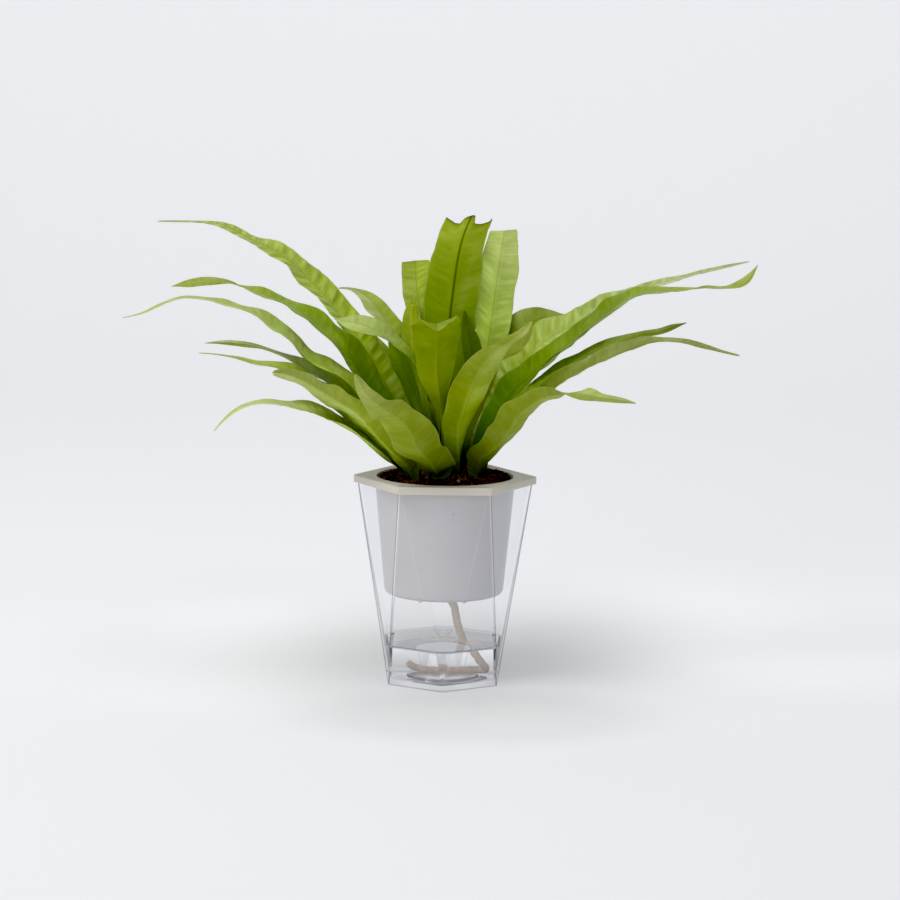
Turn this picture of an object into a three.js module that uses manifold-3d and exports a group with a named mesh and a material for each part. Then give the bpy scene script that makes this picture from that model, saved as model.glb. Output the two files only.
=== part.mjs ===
// Potted bird's nest fern in a two-part self-watering planter.
// Millimetres, +Z up, origin on the table under the planter's axis.
// The planter is a clear twelve-facet cup, a white inner pot whose hexagonal
// flange rests on the cup's rim, a cotton wick and the water it stands in.
// The fern is a crown bedded in potting mix with a rosette of strap fronds.
import * as THREE from 'three';
import { mergeVertices } from 'three/addons/utils/BufferGeometryUtils.js';
import Module from 'manifold-3d';

// ---- driving dimensions (mm) ----
const GAP = 0.3;               // air left between neighbouring solids
const FLANGE_TOP = 120.9;      // height of the planter's rim above the table
const FLANGE_R = 53.5;         // flange, centre to corner
const FLANGE_PLATE = 1.6;      // thickness of the flange plate
const SKIRT_DROP = 4.5;        // depth of the skirt from the rim
const SKIRT_WALL = 1.4;
const CUP_TOP = FLANGE_TOP - FLANGE_PLATE - GAP;
const CUP_R_TOP = 51.3;        // cup, centre to corner at its rim
const CUP_R_BASE = 36.5;       // cup, centre to corner on the table
const CUP_WALL = 2.1;          // taken off the corner radius
const CUP_FLOOR = 3.0;         // floor thickness
const BOSS_R = 17.3;           // raised disc in the floor
const BOSS_TOP = 4.9;
const RECESS_R = 15.3;         // hollow under the disc
const RECESS_DEPTH = 2.8;
const POT_R_TOP = 41.0;        // inner pot, outside
const POT_R_BASE = 34.6;
const POT_BASE = 52.0;         // underside of the inner pot
const POT_WALL = 1.5;
const POT_EDGE = 2.5;          // rounding of its lower edge
const MOUTH_R = POT_R_TOP - POT_WALL;
const WICK_HOLE_R = 4.2;
const SOIL_CENTRE = 125.4;     // mounded surface of the potting mix
const SOIL_FALL = 5.8;         // drop from the middle to the pot's wall
const SOIL_FALL_R = 38.5;
const CROWN_RISE = 0.4;        // crown above the mix
const CROWN_R = 27.0;
const WATER_TOP = 22.6;        // water level above the table
const WICK_R = 2.35;
const BLADE_HALF = 0.45;       // half thickness of a blade at its midrib

const wasm = await Module();
wasm.setup();

// ---- solids for cutting and joining ----
function toSolid(geometry) {
  const g = geometry.clone();
  g.deleteAttribute('normal');
  g.deleteAttribute('uv');
  const m = mergeVertices(g, 1e-4);
  return new wasm.Manifold(new wasm.Mesh({
    numProp: 3,
    vertProperties: new Float32Array(m.attributes.position.array),
    triVerts: new Uint32Array(m.index.array),
  }));
}
function fromSolid(solid) {
  const mesh = solid.getMesh();
  const g = new THREE.BufferGeometry();
  g.setAttribute('position', new THREE.BufferAttribute(new Float32Array(mesh.vertProperties), 3));
  g.setIndex(new THREE.BufferAttribute(new Uint32Array(mesh.triVerts), 1));
  g.computeVertexNormals();
  return g;
}
// a vertical cylinder from z0 to z1
function post(r, z0, z1, sides = 48) {
  return new THREE.CylinderGeometry(r, r, z1 - z0, sides).rotateX(Math.PI / 2).translate(0, 0, (z0 + z1) / 2);
}
// a profile of [r, z] points turned about the pot's axis
function turned(profile, sides = 48) {
  return new THREE.LatheGeometry(profile.map(([r, z]) => new THREE.Vector2(r, z)), sides).rotateX(Math.PI / 2);
}
// a hexagonal prism with its corners on 0, 60, 120 degrees
function hexPrism(r, z0, z1, corner = 2) {
  const shape = new THREE.Shape();
  for (let i = 0; i < 6; i++) {
    const a = (i * Math.PI) / 3;
    const p = new THREE.Vector2(Math.cos(a) * r, Math.sin(a) * r);
    const prev = new THREE.Vector2(Math.cos(a - Math.PI / 3) * r, Math.sin(a - Math.PI / 3) * r);
    const next = new THREE.Vector2(Math.cos(a + Math.PI / 3) * r, Math.sin(a + Math.PI / 3) * r);
    const from = p.clone().add(prev.sub(p).setLength(corner));
    const to = p.clone().add(next.sub(p).setLength(corner));
    if (i === 0) shape.moveTo(from.x, from.y); else shape.lineTo(from.x, from.y);
    shape.quadraticCurveTo(p.x, p.y, to.x, to.y);
  }
  shape.closePath();
  return new THREE.ExtrudeGeometry(shape, { depth: z1 - z0, bevelEnabled: false, curveSegments: 3 }).translate(0, 0, z0);
}
// twelve triangular facets between a lower hexagon turned by 30 degrees and an upper one
function antiprism(rBase, zBase, rTop, zTop) {
  const v = [];
  for (let i = 0; i < 6; i++) {
    const a = ((i + 0.5) * Math.PI) / 3;
    v.push([rBase * Math.cos(a), rBase * Math.sin(a), zBase]);
  }
  for (let i = 0; i < 6; i++) {
    const a = (i * Math.PI) / 3;
    v.push([rTop * Math.cos(a), rTop * Math.sin(a), zTop]);
  }
  const f = [];
  for (let i = 0; i < 6; i++) {
    const j = (i + 1) % 6;
    f.push([i, 6 + j, 6 + i]);           // facet with its edge on the rim
    f.push([i, j, 6 + j]);               // facet with its edge on the base
  }
  for (let i = 1; i < 5; i++) {
    f.push([0, i + 1, i]);
    f.push([6, 6 + i, 7 + i]);
  }
  const g = new THREE.BufferGeometry();
  g.setAttribute('position', new THREE.Float32BufferAttribute(v.flat(), 3));
  g.setIndex(f.flat());
  return g;
}
const soilZ = (r) => SOIL_CENTRE - SOIL_FALL * (r / SOIL_FALL_R) ** 2;
const potOuter = (z) => POT_R_BASE + ((POT_R_TOP - POT_R_BASE) * (z - POT_BASE)) / (FLANGE_TOP - POT_BASE);

// ---- outer cup: clear, twelve facets, open at the top, hollow under its floor disc ----
const cupSlope = (CUP_R_TOP - CUP_R_BASE) / CUP_TOP;
const cupSolid = toSolid(antiprism(CUP_R_BASE, 0, CUP_R_TOP, CUP_TOP))
  .subtract(toSolid(antiprism(CUP_R_BASE - CUP_WALL, CUP_FLOOR, CUP_R_TOP - CUP_WALL + cupSlope, CUP_TOP + 1)))
  .add(toSolid(post(BOSS_R, CUP_FLOOR - 0.5, BOSS_TOP)))
  .subtract(toSolid(post(RECESS_R, -1, RECESS_DEPTH)));

// ---- inner pot: tapered bucket in one piece with its hexagonal flange ----
const skirtInner = FLANGE_R - SKIRT_WALL / Math.cos(Math.PI / 6);
const bucket = turned([
  [WICK_HOLE_R, POT_BASE], [POT_R_BASE - POT_EDGE, POT_BASE],
  [POT_R_BASE - POT_EDGE * 0.3, POT_BASE + POT_EDGE * 0.3], [potOuter(POT_BASE + POT_EDGE), POT_BASE + POT_EDGE],
  [potOuter(FLANGE_TOP - 0.8), FLANGE_TOP - 0.8], [MOUTH_R + 0.6, FLANGE_TOP], [MOUTH_R, FLANGE_TOP - 0.6],
  [POT_R_BASE - POT_WALL + 0.2, POT_BASE + POT_WALL + 1.2], [POT_R_BASE - POT_WALL - 1.4, POT_BASE + POT_WALL],
  [WICK_HOLE_R, POT_BASE + POT_WALL], [WICK_HOLE_R, POT_BASE],
]);
const potSolid = toSolid(hexPrism(FLANGE_R, FLANGE_TOP - SKIRT_DROP, FLANGE_TOP))
  .subtract(toSolid(hexPrism(skirtInner, FLANGE_TOP - SKIRT_DROP - 1, FLANGE_TOP - FLANGE_PLATE, 1.2)))
  .subtract(toSolid(post(MOUTH_R + 0.7, FLANGE_TOP - SKIRT_DROP, FLANGE_TOP + 1)))
  .add(toSolid(bucket));

// ---- wick: a cotton rope from the mix, through the pot's hole, down to the cup floor
// and back behind the raised disc to a bare cut end ----
const WICK_PATH = [
  [0, 0, 80], [0, 0, 72], [0, 0, 63], [0.1, 0, 57], [0.7, 0, 52.6], [2.6, 0, 49.2], [4.9, 0, 46.2], [6.4, 0, 42.6],
  [7.3, 0, 38.4], [8.2, 0, 33.6], [9.7, 0.1, 28.6], [11.5, 0.4, 23.6], [13.7, 1.0, 19.2], [16.4, 2.2, 15.0],
  [19.0, 4.6, 11.0], [20.7, 8.8, 7.9], [20.1, 13.6, 6.3], [17.0, 17.8, 5.8], [12.2, 20.6, 5.75], [6.4, 22.0, 5.75],
  [0.6, 22.3, 5.75], [-4.6, 21.9, 6.0], [-9.0, 20.9, 7.0], [-13.2, 19.2, 8.8],
];
function rope(r, sides, steps, endExtra = 0) {
  const pts = WICK_PATH.map((p) => new THREE.Vector3(...p));
  if (endExtra) {
    const a = pts[0].clone().sub(pts[1]).setLength(endExtra);
    const b = pts[pts.length - 1].clone().sub(pts[pts.length - 2]).setLength(endExtra);
    pts[0].add(a);
    pts[pts.length - 1].add(b);
  }
  const path = new THREE.CatmullRomCurve3(pts, false, 'centripetal');
  const shape = new THREE.Shape();
  for (let i = 0; i < sides; i++) {
    const a = (i * 2 * Math.PI) / sides;
    if (i === 0) shape.moveTo(r * Math.cos(a), r * Math.sin(a)); else shape.lineTo(r * Math.cos(a), r * Math.sin(a));
  }
  shape.closePath();
  return new THREE.ExtrudeGeometry(shape, { steps, bevelEnabled: false, extrudePath: path });
}
const wickGeometry = rope(WICK_R, 10, 30);
const wickCutter = toSolid(rope(WICK_R + GAP, 10, 30, 0.6));

// ---- potting mix: fills the inner pot, mounded, with a pocket for the crown and a bore for the wick ----
const inR = (z) => POT_R_BASE - POT_WALL + ((MOUTH_R - POT_R_BASE + POT_WALL) * (z - POT_BASE)) / (FLANGE_TOP - POT_BASE) - GAP - 0.15;
const soilProfile = [
  [0, POT_BASE + POT_WALL + GAP], [POT_R_BASE - POT_WALL - 2.2, POT_BASE + POT_WALL + GAP],
  [inR(POT_BASE + POT_WALL + 2.6) - 0.25, POT_BASE + POT_WALL + 2.6], [inR(soilZ(38.5) - 1), soilZ(38.5) - 1],
  [36.9, soilZ(37)], [32, soilZ(32)], [CROWN_R + 0.5, soilZ(CROWN_R + 0.5)],
  [CROWN_R + 0.35, 121.5], [19.0, 113.4], [8.4, 106.6], [0, 105.6],
];
const mixSolid = toSolid(turned(soilProfile, 40)).subtract(wickCutter);

// ---- crown: the short scaly rhizome that carries the fronds ----
const crownGeometry = turned([
  [0, 106], [8.1, 107], [18.6, 113.9], [CROWN_R - 0.1, 122.0], [CROWN_R, soilZ(CROWN_R) + 0.1],
  [CROWN_R - 1.4, soilZ(CROWN_R - 1.4) + CROWN_RISE], [20, soilZ(20) + CROWN_RISE], [12, soilZ(12) + CROWN_RISE],
  [0, soilZ(0) + CROWN_RISE],
], 28);

// ---- reservoir water: fills the bottom of the cup around the wick ----
const w = GAP / Math.cos(Math.PI / 6);
const waterSolid = toSolid(antiprism(CUP_R_BASE - CUP_WALL - w, CUP_FLOOR + GAP, CUP_R_TOP - CUP_WALL - w, CUP_TOP))
  .intersect(toSolid(post(60, -1, WATER_TOP, 12)))
  .subtract(toSolid(post(BOSS_R + GAP, -1, BOSS_TOP + GAP)))
  .subtract(wickCutter);

// ---- fronds ----
// Each frond is [azimuth in degrees, stations]; a station is
// [x, y, z, half width, roll in degrees, depth of the midrib groove], crown to tip.
const FRONDS = {
  frond_back_1: [130, [
    [-8.4, 20, 125, 2.2, 1, 1.1],
    [-9.8, 22.7, 130.2, 2.9, 3, 1.5],
    [-10.8, 26.5, 138.1, 4.4, 12, 2.3],
    [-12, 31.4, 148.1, 6.6, 21, 2.8],
    [-14.3, 33.6, 158.3, 8.4, 25, 2.8],
    [-17.6, 35.4, 168.4, 10, 29, 2.6],
    [-20.7, 37.1, 178.5, 11.2, 30, 2.4],
    [-23.8, 39.5, 188.4, 11.6, 27, 2],
    [-28.1, 43, 197.8, 10.9, 18, 1.6],
    [-34.4, 48.2, 205.6, 9.6, 2, 1.3],
    [-41.5, 55.3, 213, 8.6, -4, 1],
    [-48.9, 63.3, 219.9, 5.6, -7, 0.6],
    [-56.5, 72.1, 222.8, 2.9, -8, 0.3],
    [-65.6, 82.8, 222.8, 1, -27, 0.1],
  ]],
  frond_back_2: [92, [
    [0.4, 19.8, 127.1, 2.7, -1, 1.3],
    [0.9, 25.1, 128.9, 3.2, -5, 1.8],
    [1.1, 31.9, 134.4, 3.8, -9, 2],
    [1.8, 41.5, 141.4, 4.4, -13, 1.8],
    [1.5, 51.7, 148.3, 6.1, -13, 2.1],
    [1.1, 62.5, 155.1, 8, -12, 2.1],
    [0.6, 73.2, 162.1, 9.8, -11, 2.1],
    [0, 83.7, 169.3, 11.3, -10, 1.9],
    [-0.6, 93.6, 176.6, 12.8, -10, 1.9],
    [-1.4, 101.8, 184.3, 13.4, -10, 1.8],
    [-2.4, 107.3, 189.7, 10.2, 2, 1.2],
    [-2.5, 110.2, 182.5, 5.9, 17, 0.7],
    [-2.6, 112.3, 175.8, 3.4, 25, 0.4],
    [-2.7, 114.1, 169, 1.4, 50, 0.1],
  ]],
  frond_back_3: [52, [
    [17, 16.8, 126.5, 2.9, -114, 1.4],
    [18.6, 21.2, 129.2, 4.1, -95, 2.2],
    [20.7, 27, 136.6, 5.9, -82, 3.1],
    [24.1, 34.2, 145.5, 7.8, -75, 3.3],
    [29.7, 41.8, 153.6, 9.2, -74, 3.1],
    [35.6, 50.6, 161.4, 10, -78, 2.6],
    [41.9, 59.7, 169, 10.5, -80, 2.2],
    [49.2, 68.3, 176, 10.4, -78, 1.8],
    [57.2, 76.5, 182.5, 9.8, -73, 1.4],
    [66.2, 84.3, 187.9, 8.9, -67, 1.2],
    [75.2, 91.8, 193.5, 8.1, -67, 1],
    [84.1, 99.3, 199.5, 6.6, -69, 0.7],
    [90.9, 105.1, 204.6, 4.2, -74, 0.4],
    [97.6, 110.9, 210, 1.2, -79, 0.1],
  ]],
  frond_back_4: [138, [
    [-21.2, 26, 121.5, 2.7, 82, 1.4],
    [-20.2, 28.3, 126.6, 3.5, 56, 1.9],
    [-19, 30.7, 133, 5.5, 33, 2.9],
    [-21.5, 35.1, 140.1, 8.3, 15, 3.5],
    [-26.9, 41.4, 146.7, 9.3, 14, 3.1],
    [-32.4, 49.4, 153.1, 9.9, 12, 2.6],
    [-38, 58.3, 159.5, 10, 10, 2.1],
    [-43.3, 67.2, 166.2, 9.7, 9, 1.7],
    [-48.6, 76.3, 173, 9.4, 7, 1.4],
    [-54.6, 85, 179.5, 9, 2, 1.2],
    [-60.8, 92.9, 185.9, 8.5, -2, 1],
    [-67.8, 100.2, 191.7, 6.9, -5, 0.8],
    [-73.7, 105.6, 196.1, 4.6, -9, 0.5],
    [-78.7, 110.7, 201.2, 1.5, -16, 0.1],
  ]],
  frond_back_5: [72, [
    [7, 20.6, 126.4, 2.2, 6, 1.1],
    [8.1, 25, 127.2, 2.6, 8, 1.4],
    [9.6, 30.9, 131.2, 3.1, 6, 1.6],
    [11.8, 40.3, 137.2, 3.5, 4, 1.4],
    [14.6, 50.4, 142.9, 4.3, 7, 1.3],
    [18.3, 62.7, 149.4, 5.5, 12, 1.2],
    [22, 76, 155.9, 6.8, 17, 1.1],
    [25.8, 89.4, 162.6, 7.9, 20, 1.1],
    [29.9, 101.9, 169.3, 7.7, 24, 0.9],
    [31.4, 111.4, 169, 2.9, 23, 0.3],
    [30.8, 116, 160.8, 1.3, 47, 0.1],
  ]],
  frond_back_6: [112, [
    [-13, 23, 125.5, 2.2, -11, 1.1],
    [-11.3, 27.1, 126.4, 2.6, -20, 1.4],
    [-9, 32.8, 130.4, 3.3, -26, 1.8],
    [-5.6, 42.2, 136.3, 3.9, -29, 1.6],
    [-5.4, 52.2, 142.5, 3.6, -39, 1.1],
    [-8.7, 64.3, 149.7, 4.7, -41, 1],
    [-13.5, 76.3, 156.5, 5.8, -41, 1],
    [-18.7, 88.3, 163.2, 6.6, -41, 0.9],
    [-23.8, 100.7, 170, 6.8, -38, 0.8],
    [-26.2, 110.8, 170.9, 2.7, 22, 0.3],
    [-25.4, 115.3, 162.3, 1.2, 76, 0.1],
  ]],
  frond_back_7: [90, [
    [3, 16.6, 126.2, 2.5, 0, 1.2],
    [2.4, 19.8, 131.1, 3, -5, 1.7],
    [1.7, 23.9, 139.5, 3.8, -10, 2],
    [1.5, 29.8, 149.9, 5.1, -12, 2.1],
    [2, 36.7, 160.2, 6.5, -12, 2.2],
    [2.4, 44.8, 170.5, 7.8, -10, 2.1],
    [2.7, 53.9, 180.8, 8.8, -10, 1.9],
    [3, 63.4, 191.1, 9.7, -8, 1.7],
    [3.5, 73.4, 201.6, 10.4, -7, 1.5],
    [4.1, 83.9, 212.1, 10.8, -6, 1.4],
    [4.7, 95.1, 222.7, 11, -5, 1.3],
    [5.5, 107.3, 233.4, 10.4, -4, 1.2],
    [5.9, 115, 240.5, 6.7, 0, 0.7],
    [6.1, 119.3, 234.5, 1.6, 31, 0.2],
  ]],
  frond_back_8: [134, [
    [-16.1, 19.7, 123.8, 2.7, 92, 1.4],
    [-15.5, 23.1, 128.9, 3.6, 70, 1.9],
    [-14.6, 26.9, 136.2, 5.3, 51, 2.8],
    [-14, 32.4, 145.1, 7.6, 32, 3.2],
    [-17.9, 38.8, 152.8, 9.3, 16, 3.1],
    [-23.5, 46.3, 160.3, 10, 13, 2.6],
    [-29, 54.6, 167.9, 10.1, 11, 2.1],
    [-34.5, 63.3, 175.6, 10.1, 8, 1.7],
    [-40.2, 72.7, 183.1, 9.7, 7, 1.4],
    [-46.2, 82, 190.6, 9.1, 5, 1.2],
    [-52.5, 90.6, 198, 8.4, 4, 1],
    [-59.4, 98.7, 205.2, 6.8, 1, 0.8],
    [-65, 104.9, 210.8, 4.6, -5, 0.5],
    [-70.2, 110.8, 216.8, 1.5, -13, 0.1],
  ]],
  frond_back_9: [104, [
    [-3.4, 24.1, 126.2, 2.2, 1, 1.1],
    [-4.2, 27.9, 125.3, 2.5, -1, 1.4],
    [-5.7, 33.9, 127.3, 2.7, -3, 1.4],
    [-7.5, 43.6, 130.5, 3.7, -7, 1.5],
    [-9.5, 54.2, 133.5, 4.7, -10, 1.4],
    [-12.4, 67, 136.8, 5.6, -11, 1.2],
    [-15.6, 80.2, 140, 6.5, -12, 1.1],
    [-18.8, 93, 143.3, 7.1, -10, 1],
    [-19.6, 103.4, 144.2, 4, 12, 0.5],
    [-17.9, 111, 138, 2.4, 45, 0.3],
    [-16.6, 116.1, 132.4, 1.5, 59, 0.2],
  ]],
  frond_back_10: [76, [
    [14, 21.2, 125.9, 2.2, -1, 1.1],
    [12.9, 26.1, 125, 2.5, 4, 1.4],
    [11.4, 32.7, 126.9, 2.8, 5, 1.5],
    [11.7, 42.9, 129.7, 4.1, 7, 1.7],
    [13.9, 53.5, 132.6, 5.3, 9, 1.6],
    [16.5, 66, 136, 6.6, 12, 1.5],
    [19.2, 78.7, 139.5, 7.7, 14, 1.3],
    [21.6, 91.2, 143.3, 7.9, 15, 1.1],
    [23.2, 101.6, 145.4, 4.7, 12, 0.6],
    [22.9, 109.3, 139.8, 2.3, 22, 0.2],
    [23.1, 114.4, 134.1, 1.2, 44, 0.1],
  ]],
  frond_centre_1: [84, [
    [-2, 5.6, 127.1, 4.9, -6, 2.4],
    [-0.6, 7.8, 133.1, 5.1, -6, 2.7],
    [1.2, 10.9, 142.4, 5.3, -7, 2.8],
    [1.8, 15.4, 154, 7.2, -5, 3],
    [1.8, 20, 165.6, 9.8, -3, 3.3],
    [1.7, 24.9, 177.3, 12, -2, 3.1],
    [1.5, 29.9, 189, 13.8, -2, 2.9],
    [1.4, 34.9, 200.9, 15.1, -2, 2.6],
    [1.5, 40, 212.9, 15.9, -2, 2.3],
    [2.8, 45.7, 224.8, 16.4, -2, 2.2],
    [4.3, 52.2, 236.8, 16, -3, 1.9],
    [6.3, 59.3, 248.6, 15, -4, 1.7],
    [8.9, 65.8, 257.9, 14.4, -5, 1.5],
    [12.8, 72.9, 266.8, 14.2, -6, 1.4],
  ]],
  frond_centre_2: [66, [
    [5, 13.6, 126.6, 4.1, 53, 2.1],
    [6.4, 15.4, 131.8, 4.5, 57, 2.4],
    [8.2, 18.1, 141.1, 5, 61, 2.6],
    [11.5, 21.8, 152.2, 6, 63, 2.5],
    [15.6, 26, 163.2, 7.2, 62, 2.4],
    [19.7, 30.2, 174.2, 7.9, 61, 2.1],
    [23.5, 34.7, 185.3, 8.5, 59, 1.8],
    [25.7, 39.7, 196.6, 9.9, 53, 1.7],
    [27.2, 45.6, 208.1, 11.4, 47, 1.7],
    [28.6, 52.7, 219.7, 12, 45, 1.6],
    [30.1, 60.6, 231.3, 12.1, 44, 1.5],
    [31.9, 68.8, 242.9, 11.8, 44, 1.3],
    [33.2, 75.4, 252.1, 10.4, 46, 1.1],
    [34.3, 81.6, 258.6, 8.7, 46, 0.8],
  ]],
  frond_centre_3: [106, [
    [-4, 12.2, 126.4, 3.6, -31, 1.8],
    [-4.4, 14.5, 131.1, 3.7, -35, 2],
    [-5, 17.5, 138.7, 3.9, -40, 2.1],
    [-5.7, 21.1, 148.3, 4.1, -45, 1.7],
    [-7.1, 25.2, 157.7, 5, -44, 1.7],
    [-8.7, 29.8, 167, 6, -41, 1.6],
    [-10.5, 35.2, 176.3, 6.7, -39, 1.4],
    [-12.4, 41.3, 185.6, 7, -36, 1.2],
    [-14.3, 48.3, 194.9, 7.3, -34, 1.1],
    [-15.7, 56.3, 204.2, 7.6, -31, 1],
    [-17, 65.1, 213.6, 8, -29, 1],
    [-18.7, 74, 222.9, 8.7, -27, 1],
    [-19.6, 81.4, 230.6, 8.8, -26, 0.9],
    [-19.9, 89.1, 238.3, 8.6, -26, 0.7],
  ]],
  frond_centre_4: [112, [
    [-6, 10.4, 126.2, 2.4, -45, 1.2],
    [-6.6, 12, 130.2, 2.7, -52, 1.5],
    [-7.4, 14.1, 136.6, 3.1, -58, 1.6],
    [-8.7, 16.7, 146.4, 3.6, -63, 1.5],
    [-11.3, 19.4, 155.9, 4.2, -63, 1.3],
    [-14.2, 23, 166.9, 5, -58, 1.1],
    [-17.1, 27.6, 177.9, 5.9, -51, 1],
    [-19.5, 33.5, 188.9, 6.2, -44, 0.8],
    [-21, 41.9, 199.9, 6.2, -38, 0.8],
    [-21.4, 50.6, 211, 4.9, -36, 0.5],
    [-21.6, 57.2, 220, 1.4, -62, 0.1],
  ]],
  frond_front_1: [238, [
    [-5, -19, 125.6, 5.9, -154, 2.9],
    [-5, -23.2, 127.1, 4.5, -106, 2.5],
    [-4.9, -27.7, 129.1, 6.3, 10, 3.4],
    [-5.4, -33.8, 133.4, 9.3, 12, 4.3],
    [-8.8, -40.3, 138.6, 10.6, 18, 4.1],
    [-13, -47.3, 142.9, 11.9, 25, 3.8],
    [-16.4, -54.4, 147.9, 13, 28, 3.4],
    [-18.7, -61.4, 154, 12.8, 27, 2.8],
    [-21.3, -68.2, 159.7, 12.5, 28, 2.3],
    [-25.3, -75, 164.1, 11.8, 27, 1.9],
    [-29.3, -81.7, 168, 10.2, 23, 1.5],
    [-33.9, -88.5, 171.4, 9.6, 24, 1.3],
    [-38.1, -95.1, 175.1, 7.9, 21, 1],
    [-41.8, -101.6, 179.3, 5.9, 13, 0.7],
    [-44.6, -107.7, 184.3, 4.2, 11, 0.5],
    [-46.4, -112.2, 188.3, 2.8, 12, 0.3],
    [-48.2, -116.7, 192.1, 1.1, 8, 0.1],
  ]],
  frond_front_2: [268, [
    [1, -8.3, 126.1, 4.6, -10, 2.3],
    [0.9, -8.2, 131.1, 3.9, -8, 2.1],
    [0.8, -8.4, 136.4, 3.2, -4, 1.8],
    [0, -9.2, 143.5, 2.5, 3, 1.2],
    [-1.2, -10.5, 150.6, 2.2, 11, 0.9],
    [-2.6, -12.5, 157.7, 2.3, 18, 0.7],
    [-3.5, -15.1, 164.7, 3.8, 16, 1],
    [-4.5, -17.8, 171.5, 6.1, 14, 1.3],
    [-5.5, -18.8, 178.1, 8.5, 11, 1.6],
    [-6.2, -18.6, 184.7, 10.4, 9, 1.7],
    [-6.1, -18.9, 191.5, 11.6, 9, 1.7],
    [-6, -20.6, 198.5, 12.8, 10, 1.7],
    [-6, -25.6, 205.8, 13.7, 10, 1.7],
    [-6.3, -40.4, 214, 13.9, 9, 1.6],
    [-6, -63.9, 217.3, 9.5, 3, 1],
    [-5.6, -81.3, 216.2, 5.2, -2, 0.5],
    [-5.5, -97.8, 214.7, 1.4, -10, 0.1],
  ]],
  frond_front_3: [308, [
    [6, -20, 125.3, 4.3, 6, 2.2],
    [5.6, -21.3, 130.2, 4.4, 12, 2.4],
    [5.1, -23.6, 137.5, 5.2, 8, 2.7],
    [5.1, -26.9, 146.5, 6.9, -3, 2.9],
    [6.1, -30.8, 155.4, 9, -13, 3],
    [8.7, -35.6, 164.2, 9.9, -16, 2.6],
    [11.4, -41.4, 173.1, 10.5, -18, 2.2],
    [14.9, -48, 181.7, 10.7, -21, 1.8],
    [18.8, -56, 190.1, 10.1, -22, 1.5],
    [23.5, -64.9, 197.6, 8.2, -18, 1.1],
    [29.3, -74.2, 204.1, 6.5, -10, 0.8],
    [35.9, -84, 209.8, 5.4, -7, 0.6],
    [41, -92.2, 214.4, 3.6, -3, 0.4],
    [45, -100.5, 220.1, 1.1, -5, 0.1],
  ]],
  frond_front_4: [318, [
    [9, -11.9, 125.7, 3, -6, 1.5],
    [9.6, -12.7, 129.9, 3.3, 2, 1.8],
    [10.4, -14.1, 136.6, 3.8, 9, 2],
    [11.7, -16.4, 144.8, 4.4, 12, 1.8],
    [14.3, -19, 152.8, 5, 10, 1.7],
    [17.1, -22, 160.7, 5.5, 8, 1.4],
    [20.2, -25.3, 168.4, 5.6, 9, 1.2],
    [23.2, -29.2, 176.3, 5.5, 11, 0.9],
    [25.9, -34, 184.3, 5.3, 16, 0.8],
    [29, -39.5, 191.9, 5, 12, 0.7],
    [34.8, -45.2, 197.2, 5.4, -13, 0.7],
    [40, -51, 203.4, 5, -16, 0.6],
    [43.8, -55.8, 208.6, 3.6, -17, 0.4],
    [46.6, -60.7, 214.1, 1.2, -6, 0.1],
  ]],
  frond_front_5: [-38, [
    [17, -19.9, 123.9, 3.7, -3, 1.8],
    [17.8, -20.2, 130.3, 4.5, -28, 2.4],
    [19.4, -20.8, 135.7, 6.3, -34, 3.4],
    [25, -24.1, 141.6, 7.7, -24, 3.5],
    [30.2, -27.4, 147.8, 9.7, -24, 3.8],
    [34.3, -30.4, 154.4, 11.5, -15, 3.7],
    [37.9, -33.1, 161.3, 12.2, -10, 3.2],
    [43.6, -37.2, 167.1, 12.7, -13, 2.8],
    [49.9, -41.8, 172.1, 12.7, -16, 2.4],
    [56.8, -47.1, 175.5, 11.7, -15, 1.9],
    [64, -52.8, 177.3, 10.1, -10, 1.4],
    [71.1, -58.3, 177.8, 8, 4, 1.1],
    [78.3, -63.9, 177.1, 6, 20, 0.7],
    [85.4, -69.4, 176, 4, 27, 0.5],
    [92.7, -75.1, 175.7, 2.6, 35, 0.3],
    [98.1, -79.3, 175.4, 1.7, 39, 0.2],
    [103.3, -83.5, 174.9, 0.7, 24, 0.1],
  ]],
  frond_inner_1: [150, [
    [-8, 0.1, 126.4, 3.6, 2, 1.8],
    [-7.7, 0.2, 129.8, 3.7, 24, 2],
    [-7.4, 1.4, 134.9, 5, 47, 2.6],
    [-7.4, 3.8, 142.5, 7.7, 63, 3.1],
    [-10.3, 8.1, 149.7, 10.1, 62, 3.1],
    [-14, 13.6, 158.1, 12.2, 61, 2.7],
    [-17.9, 18.3, 166.5, 13, 57, 2.1],
    [-22.1, 19, 175.3, 12.4, 58, 1.7],
    [-25.9, 18.5, 184.4, 10.3, 65, 1.3],
    [-30.2, 18.8, 192.9, 6.1, 72, 0.7],
    [-33.4, 20, 200, 1.4, 86, 0.1],
  ]],
  frond_inner_2: [60, [
    [3, 0.8, 126.7, 2, 29, 1],
    [3.8, 2.1, 130.7, 2.2, 38, 1.2],
    [4.8, 3.9, 136.6, 2.6, 46, 1.4],
    [6.3, 6.6, 145.4, 3.1, 53, 1.3],
    [8.3, 9.7, 154, 3.9, 54, 1.2],
    [10.9, 13.7, 164, 4.7, 53, 1],
    [13.9, 18, 173.9, 5.4, 49, 0.9],
    [15.7, 22.2, 184.1, 5.9, 47, 0.8],
    [14.4, 26.1, 194.4, 5.9, 46, 0.7],
    [12, 29.8, 204.4, 4.1, 50, 0.4],
    [10.4, 33.2, 212.9, 1.6, 74, 0.2],
  ]],
  frond_left_1: [152, [
    [-14, 13.9, 124.9, 3.7, -1, 1.9],
    [-15.4, 15.8, 135.6, 4.3, -21, 2.4],
    [-18.6, 18.8, 146, 5.8, -31, 3.2],
    [-26.2, 25.1, 158.7, 7.7, -20, 3.6],
    [-33.7, 31.5, 171.6, 9.8, -10, 3.8],
    [-41.3, 36.3, 184.6, 11.9, -6, 3.8],
    [-49.7, 40.3, 197.4, 13.5, -3, 3.6],
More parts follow.
